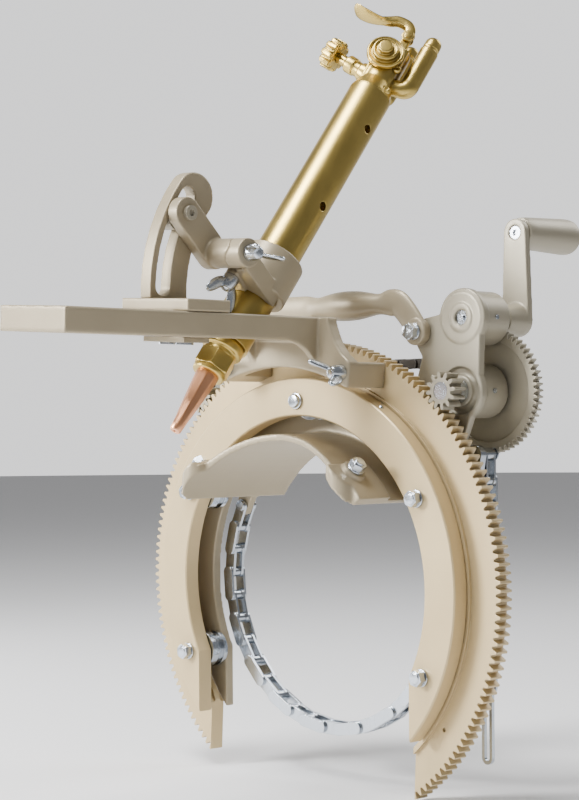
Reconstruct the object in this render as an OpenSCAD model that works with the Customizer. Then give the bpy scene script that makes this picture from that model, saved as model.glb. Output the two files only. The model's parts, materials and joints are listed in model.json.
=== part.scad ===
// Hand-cranked beveling machine
//
// A saddle with a clamp chain carries a guide ring.  A split ring gear turns on its grooved
// rollers, driven by a crank through two pinions.  The ring carries a slotted
// bar, on which a cutting torch stands at the bevel angle.
//
// X to the right, Y along the ring's axis to the back, Z up.  The origin lies on
// the ring's axis, in the front face of the guide ring.

/* [Saddle] */
// Diameter that the saddle seat is made for
seat_bore = 219.1; // [214:0.1:224]
// Thickness of the saddle seat
seat_t = 5.2; // [4:0.1:8]
// Angle above the horizontal at which the seat ends
seat_end_a = 35; // [32:0.5:36]
// Length of the seat behind the guide ring face
seat_back = 75; // [60:1:80]
// Length of the seat in front of the guide ring face, at the top
seat_front = 21; // [15:1:30]
// Thickness of the horseshoe flange of the saddle
flange_t = 8; // [6:0.5:10]

/* [Guide ring] */
// Inner radius of the guide ring
guide_in_r = 128.7; // [127:0.1:131]
// Width of the guide ring
guide_w = 29; // [27:0.1:30]
// Thickness of the guide ring
guide_t = 13.2; // [10:0.1:15]
// Half the width of the mouth of the guide ring
mouth_half = 113.5; // [112:0.5:116]

/* [Guide rollers] */
// Radius of the circle that the rollers stand on
roller_circle_r = 140; // [139:0.1:141]
// Radius of a roller at the root of its groove
roller_r = 12.2; // [11:0.1:13]
// Radius of a roller bolt
roller_bolt_r = 4.5; // [4:0.1:5.5]

/* [Ring gear] */
// Module of the ring gear and its pinions
gear_module = 2; // [1.9:0.05:2.05]
// Teeth that the whole ring would have
ring_teeth = 184; // [180:2:188]
// Thickness of the ring gear
ring_t = 12.7; // [10:0.1:15]
// Gap between the guide ring and the face of the ring gear
ring_gap = 3.8; // [3:0.1:5]
// Half the width of the mouth of the ring gear
ring_mouth_half = 111; // [108:0.5:113]
// Turn of the ring gear from upright, clockwise from the front
rest_turn = 3; // [0:0.5:10]

/* [Gear housings] */
// Radius of the lobes and bearing barrels
lobe_r = 21.7; // [20:0.1:23]
// Thickness of the housing plate
housing_t = 6.5; // [4:0.5:8]
// Length of the bearing barrels with their plate
barrel_len = 32.1; // [25:0.1:36]

/* [Drive] */
// Teeth of a drive pinion
pinion_teeth = 12; // [12:1:13]
// Radius of the drive shafts
drive_shaft_r = 6.6; // [5:0.1:7.5]
// Module of the crank reduction
crank_module = 1.5; // [1.45:0.05:1.55]
// Teeth of the large gear
big_teeth = 60; // [58:1:61]
// Thickness of the large gear
big_t = 7.2; // [5:0.1:9]
// Pitch of the drive chain
chain_pitch = 9.525; // [9.4:0.005:9.6]
// Links in the drive chain
chain_links = 70; // [70:2:70]
// Teeth of a sprocket
sprocket_teeth = 15; // [15:1:15]

/* [Crank] */
// Distance from the crank shaft to the grip screw
crank_throw = 66.2; // [55:0.1:75]
// Thickness of the crank arm
crank_arm_t = 5.4; // [4.5:0.1:12]
// Length of the crank grip
grip_len = 62; // [50:1:75]

/* [Carry handle] */
// Height of the grip axis above the ring's axis
bow_z = 213; // [208:0.5:222]
// Greatest radius of the grip
bow_r = 12; // [10:0.5:14]
// Half the length of the bulged grip
bow_half = 55; // [45:1:58]

/* [Torch bar] */
// Half the width of the bar
bar_half = 36.1; // [33:0.1:40]
// Height of the underside of the bar
bar_z = 185.9; // [185:0.1:188]
// Thickness of the bar
bar_t = 18; // [14:0.1:20]
// Distance from the guide ring face to the front end of the bar
bar_reach = 260.4; // [240:0.1:280]
// Distance from the guide ring face to the front face of the bracket
bracket_front = 22.9; // [20:0.1:25]

/* [Bevel quadrant] */
// Radius of the middle of the quadrant slot
slot_mid_r = 113.8; // [110:0.1:118]
// Width of the quadrant slot
slot_w = 13.6; // [12:0.1:15]
// Thickness of the quadrant
quadrant_t = 11.3; // [9:0.1:13]
// Tilt of the torch from upright
bevel_a = 36.5; // [34:0.5:39]

/* [Torch] */
// Radius of the torch barrel
torch_r = 17.45; // [16:0.05:17.6]
// Length of the barrel
barrel_torch_len = 245.5; // [235:0.5:260]
// Length of the cutting tip outside the nut
tip_len = 50.6; // [40:0.1:60]

/* [Hidden] */

$fn = 48;

// Colours
cast_col = [0.72, 0.69, 0.62];
ring_col = [0.82, 0.77, 0.66];
gray_col = [0.70, 0.69, 0.65];
zinc_col = [0.76, 0.78, 0.80];
dark_col = [0.24, 0.23, 0.22];
brass_col = [0.76, 0.63, 0.32];
copper_col = [0.80, 0.52, 0.36];

// Clearances shared by the pieces
run_gap = 0.3;
side_gap = 0.8;
bore_gap = 0.05;
slide_gap = 0.15;
cut = 1;
far = 700;

// Places along the axis
ring_face = guide_t + ring_gap;
ring_back = ring_face + ring_t;
flange_y = ring_back + side_gap;
housing_y = flange_y + flange_t;
barrel_end = housing_y + barrel_len;

// Seat and guide ring
guide_out_r = guide_in_r + guide_w;
bore_r = seat_bore / 2;
seat_in_r = bore_r + bore_gap;
seat_out_r = seat_in_r + seat_t;

// Flat helpers: a shape drawn in x and y stands in X and Z
module along_y(y0, y1)
    translate([0, y1, 0]) rotate([90, 0, 0]) linear_extrude(y1 - y0) children();
// A shape drawn in x and y stands in Y and Z
module along_x(x0, x1)
    translate([x0, 0, 0]) rotate([90, 0, 90]) linear_extrude(x1 - x0) children();
// A profile of radius and depth, turned about the Y axis
module about_y(turn = 360)
    rotate([90, 0, 0]) rotate_extrude(angle = turn, $fn = 180) children();
module cyl_y(at, y0, y1, r)
    translate([at[0], y1, at[1]]) rotate([90, 0, 0]) cylinder(h = y1 - y0, r = r);
module cyl_x(at, x0, x1, r)
    translate([x0, at[0], at[1]]) rotate([0, 90, 0]) cylinder(h = x1 - x0, r = r);

function polar(r, a) = [r * cos(a), r * sin(a)];
function mirror_x(p) = [-p[0], p[1]];

// Two discs joined by straight edges a little inside their outer tangents
seam = 0.02;
function tangent_points(p, rp, q, rq) =
    let (d = q - p, len = norm(d), a = atan2(d[1], d[0]), b = acos((rp - rq) / len))
    [p + polar(rp, a + b), p + polar(rp, a - b), q + polar(rq, a - b), q + polar(rq, a + b)];
module strap(p, rp, q, rq) {
    translate(p) circle(rp);
    translate(q) circle(rq);
    polygon(tangent_points(p, rp - seam, q, rq - seam));
}

// A ring sector between two angles
module sector(r0, r1, a0, a1) {
    steps = 4;
    difference() {
        intersection() {
            circle(r1, $fn = 180);
            polygon(concat([[0, 0]],
                [for (i = [0:steps]) polar(far, a0 + (a1 - a0) * i / steps)]));
        }
        circle(r0, $fn = 180);
    }
}

// Involute teeth.  A tooth is described by its half angle at a radius.
pressure_a = 20;
tooth_share = 0.93;
addendum_share = 0.95;
dedendum_share = 1.25;
function inv_a(a) = tan(a) * 180 / PI - a;
function half_a(r, z, m) =
    let (rb = z * m / 2 * cos(pressure_a))
    90 * tooth_share / z + inv_a(pressure_a) - inv_a(acos(min(1, rb / r)));
function tip_r(z, m) = z * m / 2 + m * addendum_share;
function root_r(z, m) = z * m / 2 - m * dedendum_share;
function tooth_radii(z, m, n) =
    [for (i = [0:n]) root_r(z, m) + (tip_r(z, m) - root_r(z, m)) * i / n];
function gear_points(z, m, phase, n) =
    let (rr = tooth_radii(z, m, n))
    [for (k = [0:z - 1]) for (j = [0:2 * n + 1])
        let (i = j <= n ? j : 2 * n + 1 - j, s = j <= n ? -1 : 1)
        polar(rr[i], phase + k * 360 / z + s * half_a(rr[i], z, m))];
// Phase of a gear of z teeth that meshes at angle a with one of n teeth
function frac(v) = v - floor(v);
function mesh_phase(a, other_phase, n, z) =
    a + 180 + (frac((a - other_phase) * n / 360) + 0.5) * 360 / z;

// Places of the drive
ring_pitch_r = ring_teeth * gear_module / 2;
pinion_pitch_r = pinion_teeth * gear_module / 2;
drive_circle_r = ring_pitch_r + pinion_pitch_r;
strand_half = (chain_links - sprocket_teeth) * chain_pitch / 4;
drive_a = acos(strand_half / drive_circle_r);
drive_c = polar(drive_circle_r, drive_a);
crank_pinion_teeth = 12;
crank_centres = (big_teeth + crank_pinion_teeth) * crank_module / 2;
crank_a = 87.4;
crank_c = drive_c + polar(crank_centres, crank_a);
ring_phase = -rest_turn;
pinion_phase_r = mesh_phase(drive_a, ring_phase, ring_teeth, pinion_teeth);
pinion_phase_l = mesh_phase(180 - drive_a, ring_phase, ring_teeth, pinion_teeth);
crank_phase = mesh_phase(crank_a, 0, big_teeth, crank_pinion_teeth);
big_y = barrel_end + side_gap;
chain_y_gap = 4.5;
chain_half_w = 5.4;
chain_y = big_y + big_t + chain_y_gap + chain_half_w;
crank_gap = 7;
crank_y = chain_y + chain_half_w + crank_gap;

// Roller bolts, from the top to the right and down, then to the left
roller_a = [90, 29, -26, 151, 206];
function roller_c(i) = polar(roller_circle_r, roller_a[i]);

// The turning part in its rest position
module on_ring() rotate([0, rest_turn, 0]) children();

// Saddle
foot_r = 10.8;
foot_x = 78.5;
foot_y = -33.5;
foot_rise = 9.4;
foot_span_a = 17;
flare_x = [0, 32.5, 51, 67];
flare_drop_share = [0, 0.2, 0.43, 0.64];
web_t = 6;
web_rise = 16;
web_len = 32;
web_angles = [70, 90, 110];
pad_bolt_a = 47;
pad_bolt_y = -23;
pad_boss_r = 9;
pad_boss_rise = 12.4;
pad_bolt_r = 4;

module seat_plan() {
    drop = -foot_y - foot_r / 2 - seat_front + foot_r;
    for (s = [1, -1]) {
        polygon([[0, seat_back], [0, -seat_front],
            for (i = [1:3]) [s * flare_x[i], -seat_front - drop * flare_drop_share[i]],
            [s * foot_x, foot_y], [s * (foot_x + foot_r), foot_y],
            [s * far, foot_y], [s * far, seat_back]]);
        translate([s * foot_x, foot_y]) circle(foot_r);
    }
}
module saddle_arch(r0, r1, a0, a1, y0) along_y(y0, seat_back) sector(r0, r1, a0, a1);
module saddle() color(cast_col) difference() {
    union() {
        intersection() {
            union() {
                saddle_arch(seat_in_r, seat_out_r, seat_end_a, 180 - seat_end_a, -far / 4);
                for (a = [seat_end_a, 180 - seat_end_a - foot_span_a])
                    along_y(-far / 4, 0)
                        sector(seat_in_r, seat_in_r + foot_rise, a, a + foot_span_a);
            }
            translate([0, 0, cut]) linear_extrude(far) seat_plan();
        }
        for (a = [pad_bolt_a, 180 - pad_bolt_a])
            rotate([0, -a, 0]) translate([seat_in_r + seat_t / 2, pad_bolt_y, 0])
                rotate([0, 90, 0]) cylinder(h = pad_boss_rise - seat_t / 2, r = pad_boss_r);
        along_y(flange_y, housing_y) {
            sector(seat_in_r + seat_t / 2, guide_out_r, seat_end_a, 180 - seat_end_a);
            difference() {
                circle(guide_out_r, $fn = 180);
                circle(guide_in_r, $fn = 180);
                translate([-mouth_half, -far]) square([2 * mouth_half, far]);
            }
        }
        chain_lug(clamp_a0, 180 - seat_end_a);
        chain_lug(clamp_a1, seat_end_a);
        for (a = web_angles)
            rotate([0, 90 - a, 0]) along_x(-web_t / 2, web_t / 2)
                polygon([[housing_y - cut, seat_out_r - cut], [housing_y + web_len, seat_out_r - cut],
                    [housing_y + web_len, seat_out_r], [housing_y - cut, seat_out_r + web_rise]]);
    }
    for (i = [0:4]) cyl_y(roller_c(i), flange_y - cut, housing_y + cut, roller_bolt_r);
    for (a = [clamp_a0, clamp_a1]) cyl_y(polar(clamp_r, a), 0, far, clamp_roller_r);
    for (a = [pad_bolt_a, 180 - pad_bolt_a])
        rotate([0, -a, 0]) translate([seat_in_r + cut, pad_bolt_y, 0])
            rotate([0, 90, 0]) cylinder(h = pad_boss_rise + cut, r = pad_bolt_r);
}

// Guide ring
edge = 1;
module guide_ring() color(ring_col) difference() {
    about_y() polygon([[guide_in_r, -guide_t], [guide_out_r, -guide_t], [guide_out_r, -edge],
        [guide_out_r - edge, 0], [guide_in_r + edge, 0], [guide_in_r, -edge]]);
    translate([-mouth_half, -cut, -far]) cube([2 * mouth_half, guide_t + 2 * cut, far]);
    for (i = [0:4]) cyl_y(roller_c(i), -cut, guide_t + cut, roller_bolt_r);
    rotate([0, -oiler_a, 0]) translate([guide_out_r - oiler_depth, guide_t / 2, 0])
        rotate([0, 90, 0]) cylinder(h = oiler_depth + cut, r = oiler_r);
}
oiler_a = 58.5;
oiler_r = 2.2;
oiler_depth = 5;
oiler_rise = 1.2;
module ring_oiler() color(zinc_col)
    rotate([0, -oiler_a, 0]) translate([guide_out_r - oiler_depth, guide_t / 2, 0])
        rotate([0, 90, 0]) {
            cylinder(h = oiler_depth, r = oiler_r);
            translate([0, 0, oiler_depth]) cylinder(h = oiler_rise, r1 = oiler_r, r2 = oiler_r / 2);
        }

// Rollers and their bolts
roller_flange = 2.4;
roller_groove = 5.9;
bolt_head_r = 5.3;
bolt_head_h = 7;
top_head_h = 3;
washer_r = 6.4;
washer_t = 1.7;
nut_r = 6.6;
nut_h = 5;
roller_y0 = guide_t + side_gap;
roller_y1 = flange_y - side_gap;
tongue_y0 = ring_face + (ring_t - roller_groove) / 2 + run_gap;
tongue_y1 = ring_back - (ring_t - roller_groove) / 2 - run_gap;
module roller_bolts() color(zinc_col) for (i = [0:4]) {
    cyl_y(roller_c(i), -washer_t, 0, washer_r);
    if (i == 0) cyl_y(roller_c(i), -washer_t - top_head_h, -washer_t, bolt_head_r);
    else cyl_y(roller_c(i), -washer_t - bolt_head_h, -washer_t, bolt_head_r + washer_t / 2, $fn = 6);
    cyl_y(roller_c(i), -washer_t, housing_y + nut_h, roller_bolt_r);
    cyl_y(roller_c(i), housing_y, housing_y + nut_h, nut_r, $fn = 6);
}
module guide_roller(i) color(zinc_col) difference() {
    union() {
        cyl_y(roller_c(i), roller_y0, roller_y1, roller_r);
        cyl_y(roller_c(i), roller_y0, tongue_y0 - run_gap, roller_r + roller_flange);
        cyl_y(roller_c(i), tongue_y1 + run_gap, roller_y1, roller_r + roller_flange);
    }
    cyl_y(roller_c(i), roller_y0 - cut, roller_y1 + cut, roller_bolt_r + bore_gap);
}
module guide_roller_1() guide_roller(0);
module guide_roller_2() guide_roller(1);
module guide_roller_3() guide_roller(2);
module guide_roller_4() guide_roller(3);
module guide_roller_5() guide_roller(4);

// Ring gear
ring_in_r = roller_circle_r + roller_r + run_gap;
flange_clear = 1.2;
ring_wall_r = ring_in_r + roller_flange + flange_clear;
rim_step = 2;
rim_out_r = guide_out_r + rim_step;
rim_gap = 1;
lead_in = 6;
lead_len = 16;
face_screw_a = -34;
face_screw_r = 166;
module ring_gear() color(ring_col) on_ring() difference() {
    union() {
        along_y(ring_face, ring_back) difference() {
            polygon(gear_points(ring_teeth, gear_module, 0, 1));
            circle(ring_wall_r + gear_module, $fn = 180);
        }
        about_y() polygon([[ring_wall_r, -ring_back], [ring_wall_r, -tongue_y1],
            [ring_in_r, -tongue_y1], [ring_in_r, -tongue_y0], [ring_wall_r, -tongue_y0],
            [ring_wall_r, -guide_t - rim_gap], [rim_out_r, -guide_t - rim_gap],
            [rim_out_r, -ring_face], [rim_out_r + gear_module, -ring_face],
            [rim_out_r + gear_module, -ring_back]]);
    }
    translate([-ring_mouth_half, 0, -far]) cube([2 * ring_mouth_half, far, far]);
    for (s = [1, -1]) {
        along_y(0, far) polygon([[s * (ring_mouth_half - cut), -ring_mouth_half + cut],
            [s * (ring_mouth_half + lead_in), -ring_mouth_half + lead_len],
            [s * (ring_mouth_half - cut), -ring_mouth_half + lead_len]]);
        cyl_y([s * wing_x, wing_z], ring_face - cut, ring_back - web_t / 2, wing_bolt_r + bore_gap);
    }
    cyl_y(polar(face_screw_r, face_screw_a), ring_face - cut, ring_face + washer_t, washer_t);
}

// Torch bracket with its bar
bracket_t = 10;
bracket_clear = 6;
bracket_arc_r = rim_out_r + bracket_clear;
wing_in = 8.5;
wing_circle_r = bracket_arc_r + wing_in;
wing_a = 20.5;
wing_x = wing_circle_r * sin(wing_a);
wing_z = wing_circle_r * cos(wing_a);
wing_bolt_r = 4;
bracket_share = [[0.645, 1.1], [0.681, 0.814], [0.717, 0.649], [0.761, 0.472], [0.814, 0.32],
    [0.891, 0.146], [0.98, 0.02], [1, -0.04], [0.98, -0.6]];
bracket_half = 69;
bracket_rise = 14.1;
bracket_h = 32.2;
foot_in_x = 52;
foot_drop = 14.6;
gusset_t = 6;
gusset_len = 27;
gusset_r = 40;
torch_play = 0.9;
bar_end_wall = 12;
slot_half = torch_r + torch_play;
slot_y0 = -bar_reach + bar_end_wall;
slot_y1 = -bracket_front - bore_gap;
module bracket_plan() {
    base = bar_z - bracket_rise;
    pts = [for (p = bracket_share) [p[0] * bracket_half, base + p[1] * bracket_h]];
    difference() {
        polygon(concat(pts, [for (i = [len(pts) - 1:-1:0]) mirror_x(pts[i])]));
        circle(bracket_arc_r, $fn = 180);
    }
}
module bar_plan() difference() {
    translate([-bar_half, -bar_reach]) square([2 * bar_half, bar_reach - bracket_front + cut]);
    translate([-slot_half, slot_y0]) square([2 * slot_half, -bracket_front - bracket_t / 2 - slot_y0]);
}
module torch_bracket() color(cast_col) on_ring() difference() {
    union() {
        along_y(-bracket_front, -bracket_front + bracket_t)
            intersection() {
                bracket_plan();
                translate([-far, 0]) square([2 * far, bar_z + bar_t]);
            }
        along_y(-bracket_front, ring_face) intersection() {
            bracket_plan();
            for (s = [0, 1]) mirror([s, 0]) translate([foot_in_x, 0])
                square([far, bar_z - foot_drop]);
        }
        translate([0, 0, bar_z]) linear_extrude(bar_t) bar_plan();
        for (s = [-1, 1]) along_x(s * (bar_half - gusset_t / 2) - gusset_t / 2,
                s * (bar_half - gusset_t / 2) + gusset_t / 2)
            difference() {
                translate([-bracket_front - gusset_len, bar_z - gusset_len + gusset_t])
                    square([gusset_len + cut, gusset_len - gusset_t + cut]);
                translate([-bracket_front - gusset_len - gusset_t, bar_z - gusset_r + cut])
                    circle(gusset_r - cut, $fn = 96);
            }
    }
    for (s = [1, -1]) cyl_y([s * wing_x, wing_z], -far / 2, far / 2, wing_bolt_r + bore_gap);
}
hub_r = 5.5;
hub_h = 11;
wing_len = 14.5;
wing_top = 23;
wing_tip_r = 5;
wing_t = 3;
// A wing screw along -Z from the origin, head upwards
module wing_screw(shank) {
    translate([0, 0, -shank]) cylinder(h = shank + cut, r = wing_bolt_r);
    cylinder(h = hub_h, r1 = hub_r + cut, r2 = hub_r);
    translate([0, wing_t / 2, 0]) rotate([90, 0, 0]) linear_extrude(wing_t) for (s = [1, -1])
        strap([0, hub_h], hub_r / 3, [s * (wing_len - wing_tip_r), wing_top - wing_tip_r], wing_tip_r);
}
module bracket_screw(s) on_ring() translate([s * wing_x, -bracket_front - bore_gap, wing_z])
    rotate([90, 0, 0]) rotate([0, 0, s * drive_a]) wing_screw(bracket_front + ring_face + web_t);
module bracket_screw_right() color(zinc_col) bracket_screw(1);
module bracket_screw_left() color(zinc_col) bracket_screw(-1);

// Carriage
pad_z = bar_z + bar_t + slide_gap;
pad_t = 8.8;
pad_front = 152.5;
pad_back = 112;
notch_back = 119;
notch_half = 14;
stem_front = 143;
stem_back = notch_back;
plate_half = 22;
plate_t = 3.8;
carriage_bolt_r = 4;
carriage_bolt_y = -131;
carriage_bolt_x = 9;
module carriage_pad() color(cast_col) on_ring() difference() {
    union() {
        translate([-bar_half, -pad_front, pad_z]) cube([2 * bar_half, pad_front - pad_back, pad_t]);
        translate([-slot_half + slide_gap, -stem_front, bar_z])
            cube([2 * (slot_half - slide_gap), stem_front - stem_back, bar_t + pad_t / 2]);
    }
    translate([-notch_half, -notch_back, bar_z]) cube([2 * notch_half, notch_back, far]);
    for (s = [1, -1]) translate([s * carriage_bolt_x, carriage_bolt_y, bar_z - cut])
        cylinder(h = bar_t, r = carriage_bolt_r);
}
module carriage_plate() color(cast_col) on_ring() difference() {
    translate([-plate_half, -stem_front, bar_z - slide_gap - plate_t])
        cube([2 * plate_half, stem_front - stem_back, plate_t]);
    for (s = [1, -1]) translate([s * carriage_bolt_x, carriage_bolt_y, bar_z - far / 2])
        cylinder(h = far, r = carriage_bolt_r);
}
module carriage_bolts() color(zinc_col) on_ring() for (s = [1, -1])
    translate([s * carriage_bolt_x, carriage_bolt_y, bar_z - slide_gap - plate_t]) {
        cylinder(h = plate_t + slide_gap + bar_t - cut, r = carriage_bolt_r);
        translate([0, 0, -washer_t]) cylinder(h = washer_t, r = nut_r);
    }

// Bevel quadrant
// Centre of the quadrant arc, as a distance in front of the guide ring and a height
arc_rise = 8.7;
arc_c = [-24.1, pad_z + pad_t + arc_rise];
quadrant_x1 = -7.6;
quadrant_x0 = quadrant_x1 - quadrant_t;
outer_leg = 5.4;
inner_leg = 16;
quadrant_out_r = slot_mid_r + slot_w / 2 + outer_leg;
quadrant_in_r = slot_mid_r - slot_w / 2 - inner_leg;
quadrant_mid_r = (quadrant_out_r + quadrant_in_r) / 2;
quadrant_end_r = (quadrant_out_r - quadrant_in_r) / 2;
slot_end_a = 144;
slot_turn_a = 35.9;
slot_foot_a = slot_end_a + slot_turn_a;
quadrant_lead_a = 2;
quadrant_end_a = slot_end_a - quadrant_lead_a;
quadrant_foot_a = 180 + asin((arc_rise + cut) / quadrant_in_r);
module bevel_quadrant() color(cast_col) on_ring() along_x(quadrant_x0, quadrant_x1) difference() {
    union() {
        intersection() {
            translate(arc_c) sector(quadrant_in_r, quadrant_out_r, quadrant_end_a, quadrant_foot_a);
            translate([-far, pad_z + pad_t]) square([far, far]);
        }
        translate(arc_c + polar(quadrant_mid_r, quadrant_end_a)) circle(quadrant_end_r);
    }
    translate(arc_c) sector(slot_mid_r - slot_w / 2, slot_mid_r + slot_w / 2, slot_end_a, slot_foot_a);
    for (a = [slot_end_a, slot_foot_a])
        translate(arc_c + polar(slot_mid_r, a)) circle(slot_w / 2);
}

// Bevel arm, clamp boss and collar
// The torch frame stands on the tip, its Z axis up the torch
tip_y = -129.8;
tip_z = 118;
bolt_lead_a = 8;
bolt_a = slot_end_a + bolt_lead_a;
bolt_c = arc_c + polar(slot_mid_r, bolt_a);
axis_dir = [sin(bevel_a), cos(bevel_a)];
cross_dir = [cos(bevel_a), -sin(bevel_a)];
function up_torch(p) = (p - [tip_y, tip_z]) * axis_dir;
function off_torch(p) = (p - [tip_y, tip_z]) * cross_dir;
arm_s = up_torch(bolt_c);
arm_d = off_torch(bolt_c);
module on_torch() on_ring() translate([0, tip_y, tip_z]) rotate([-bevel_a, 0, 0]) children();
arm_x0 = quadrant_x1 + slide_gap;
arm_t = 10;
arm_half = 11.6;
collar_wall = 6;
collar_s0 = 127;
collar_s1 = 160;
key_a = 3;
key_r = slot_w / 2 - slide_gap;
bevel_bolt_r = 4;
// The swivel joint lies along X, its halves parted by a V seam
swivel_c = [-50, 124];
swivel_r = 10.8;
swivel_x1 = 37;
swivel_seam = 20;
vee = 6;
web_edge = 31;
web_foot = 6;
clamp_lug_c = [9.5, -32.5];
clamp_lug_r = 6;
clamp_lug_s0 = 116;
boss_shank = 10;
module beside_seam(gap, side) along_y(-far, swivel_c[0] + swivel_r + run_gap)
    polygon([[swivel_seam + gap, swivel_c[1] + swivel_r + cut],
        [swivel_seam + vee + gap, swivel_c[1] - vee / 2],
        [swivel_seam + gap, swivel_c[1] - swivel_r - cut],
        [side * far, swivel_c[1] - swivel_r - cut], [side * far, swivel_c[1] + swivel_r + cut]]);
module swivel_bore() cyl_x(swivel_c, -far / 2, far / 2, wing_bolt_r + bore_gap);
module bevel_arm() color(cast_col) on_torch() difference() {
    union() {
        along_x(arm_x0, arm_x0 + arm_t) strap([arm_d, arm_s], arm_half, swivel_c, arm_half);
        difference() {
            cyl_x(swivel_c, arm_x0 + arm_t / 2, swivel_seam + vee, swivel_r);
            beside_seam(0, 1);
        }
    }
    cyl_x([arm_d, arm_s], arm_x0 - cut, arm_x0 + arm_t + cut, bevel_bolt_r);
    swivel_bore();
}
module bevel_bolt() color(gray_col) {
    on_torch() cyl_x([arm_d, arm_s], quadrant_x0 - washer_t, arm_x0 + arm_t + washer_t, bevel_bolt_r);
    on_torch() difference() {
        cyl_x([arm_d, arm_s], arm_x0 + arm_t, arm_x0 + arm_t + 2 * washer_t, bolt_head_r);
        cyl_x([arm_d, arm_s], arm_x0 + arm_t + washer_t, far, bolt_head_r / 2, $fn = 6);
    }
    on_torch() cyl_x([arm_d, arm_s], quadrant_x0 - nut_h - slide_gap, quadrant_x0 - slide_gap,
        nut_r + cut, $fn = 6);
    on_ring() along_x(quadrant_x0 - slide_gap, arm_x0) {
        translate(arc_c) sector(slot_mid_r - key_r, slot_mid_r + key_r, bolt_a - key_a, bolt_a + key_a);
        for (a = [-key_a, key_a]) translate(arc_c + polar(slot_mid_r, bolt_a + a)) circle(key_r);
    }
}
module torch_collar() color(cast_col) on_torch() difference() {
    union() {
        translate([0, 0, collar_s0]) cylinder(h = collar_s1 - collar_s0, r = torch_r + collar_wall);
        difference() {
            union() {
                cyl_x(swivel_c, swivel_seam - cut, swivel_x1, swivel_r);
                translate([0, 0, swivel_c[1] - web_foot]) linear_extrude(web_foot + swivel_r - cut)
                    polygon([[swivel_seam, swivel_c[0]], [web_edge, swivel_c[0]],
                        [torch_r + web_foot / 2, web_foot], [arm_t, -torch_r + 2 * cut]]);
            }
            beside_seam(run_gap, -1);
        }
        translate([0, 0, clamp_lug_s0]) linear_extrude(swivel_c[1] + swivel_r - cut - clamp_lug_s0)
            strap(clamp_lug_c, clamp_lug_r, [clamp_lug_r, -torch_r - clamp_lug_r / 2], clamp_lug_r);
    }
    cylinder(h = far, r = torch_r + bore_gap);
    swivel_bore();
    translate([clamp_lug_c[0], clamp_lug_c[1], clamp_lug_s0 - cut])
        cylinder(h = boss_shank + run_gap + cut, r = wing_bolt_r + bore_gap);
}
module collar_wing_screw() color(zinc_col) on_torch()
    translate([swivel_x1 + bore_gap, swivel_c[0], swivel_c[1]]) rotate([0, 90, 0]) rotate([0, 0, 20])
        wing_screw(swivel_x1 - arm_x0 - cut);
module boss_wing_screw() color(zinc_col) on_torch()
    translate([clamp_lug_c[0], clamp_lug_c[1], clamp_lug_s0 - bore_gap]) rotate([180, 0, 0])
        rotate([0, 0, 90]) wing_screw(boss_shank);

// Torch
nut_len = 18.4;
collar_len = 10.5;
barrel_s0 = tip_len + nut_len + collar_len;
barrel_s1 = barrel_s0 + barrel_torch_len;
tip_end_r = 4.3;
tip_root_r = 8.8;
tip_bore_r = 1.3;
torch_nut_r = 14.6;
ring_r = 15.8;
spanner_hole_r = 3.6;
spanner_depth = 6;
spanner_s = [212.3, 290.6];
head_turn = 39;
module torch_tip() color(copper_col) on_torch() difference() {
    union() {
        cylinder(h = tip_len / 4, r1 = tip_end_r, r2 = tip_end_r + cut);
        translate([0, 0, tip_len / 4]) cylinder(h = 3 * tip_len / 4, r1 = tip_end_r + cut, r2 = tip_root_r,
            $fn = 8);
    }
    translate([0, 0, -cut]) cylinder(h = tip_len / 2, r = tip_bore_r);
}
module torch_nut() color(brass_col) on_torch() translate([0, 0, tip_len]) {
    cylinder(h = nut_len / 4, r1 = tip_root_r + cut, r2 = torch_nut_r - cut);
    translate([0, 0, nut_len / 4]) cylinder(h = 3 * nut_len / 4, r = torch_nut_r, $fn = 6);
}
module torch_ring() color(brass_col) on_torch() translate([0, 0, tip_len + nut_len]) {
    cylinder(h = collar_len / 2, r = ring_r - washer_t);
    translate([0, 0, collar_len / 2]) cylinder(h = collar_len / 2, r = ring_r);
}
module torch_barrel() color(brass_col) on_torch() difference() {
    translate([0, 0, barrel_s0]) cylinder(h = barrel_torch_len, r = torch_r, $fn = 96);
    for (s = spanner_s) rotate([0, 0, head_turn - 90 + 55]) translate([torch_r - spanner_depth, 0, s])
        rotate([0, 90, 0]) cylinder(h = spanner_depth + cut, r = spanner_hole_r);
}
// The head frame: X across the view of the torch, -Y out of the front of the head
module on_head() on_torch() rotate([0, 0, head_turn]) translate([0, 0, barrel_s1]) children();
neck_h = 12;
neck_r = 13.5;
head_w = 24;
head_d = 20;
head_h = 47;
ear_x = 3;
ear_h = 68;
lever_t = 4;
cap_h = 33;
cap_x = -2.8;
cap_r = 15;
cap_step = 4.5;
cap_rise = 3.5;
module torch_head() color(brass_col) difference() {
    head_body();
    on_stem() cylinder(h = stem_len, r = stem_r);
    on_head() translate([ear_x, far / 2, ear_h - lever_t]) rotate([90, 0, 0])
        cylinder(h = far, r = lever_t / 2 + bore_gap);
    on_head() for (p = screw_places) translate([p[0], -head_d / 2 + screw_r, p[1]]) rotate([90, 0, 0])
        cylinder(h = far, r = screw_r);
    for (a = inlet_turns) on_head() rotate([0, 0, a])
        translate([neck_r - inlet_seat, 0, inlet_low + inlet_r])
            rotate([0, 90, 0]) cylinder(h = far, r = inlet_r - cut);
}
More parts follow.
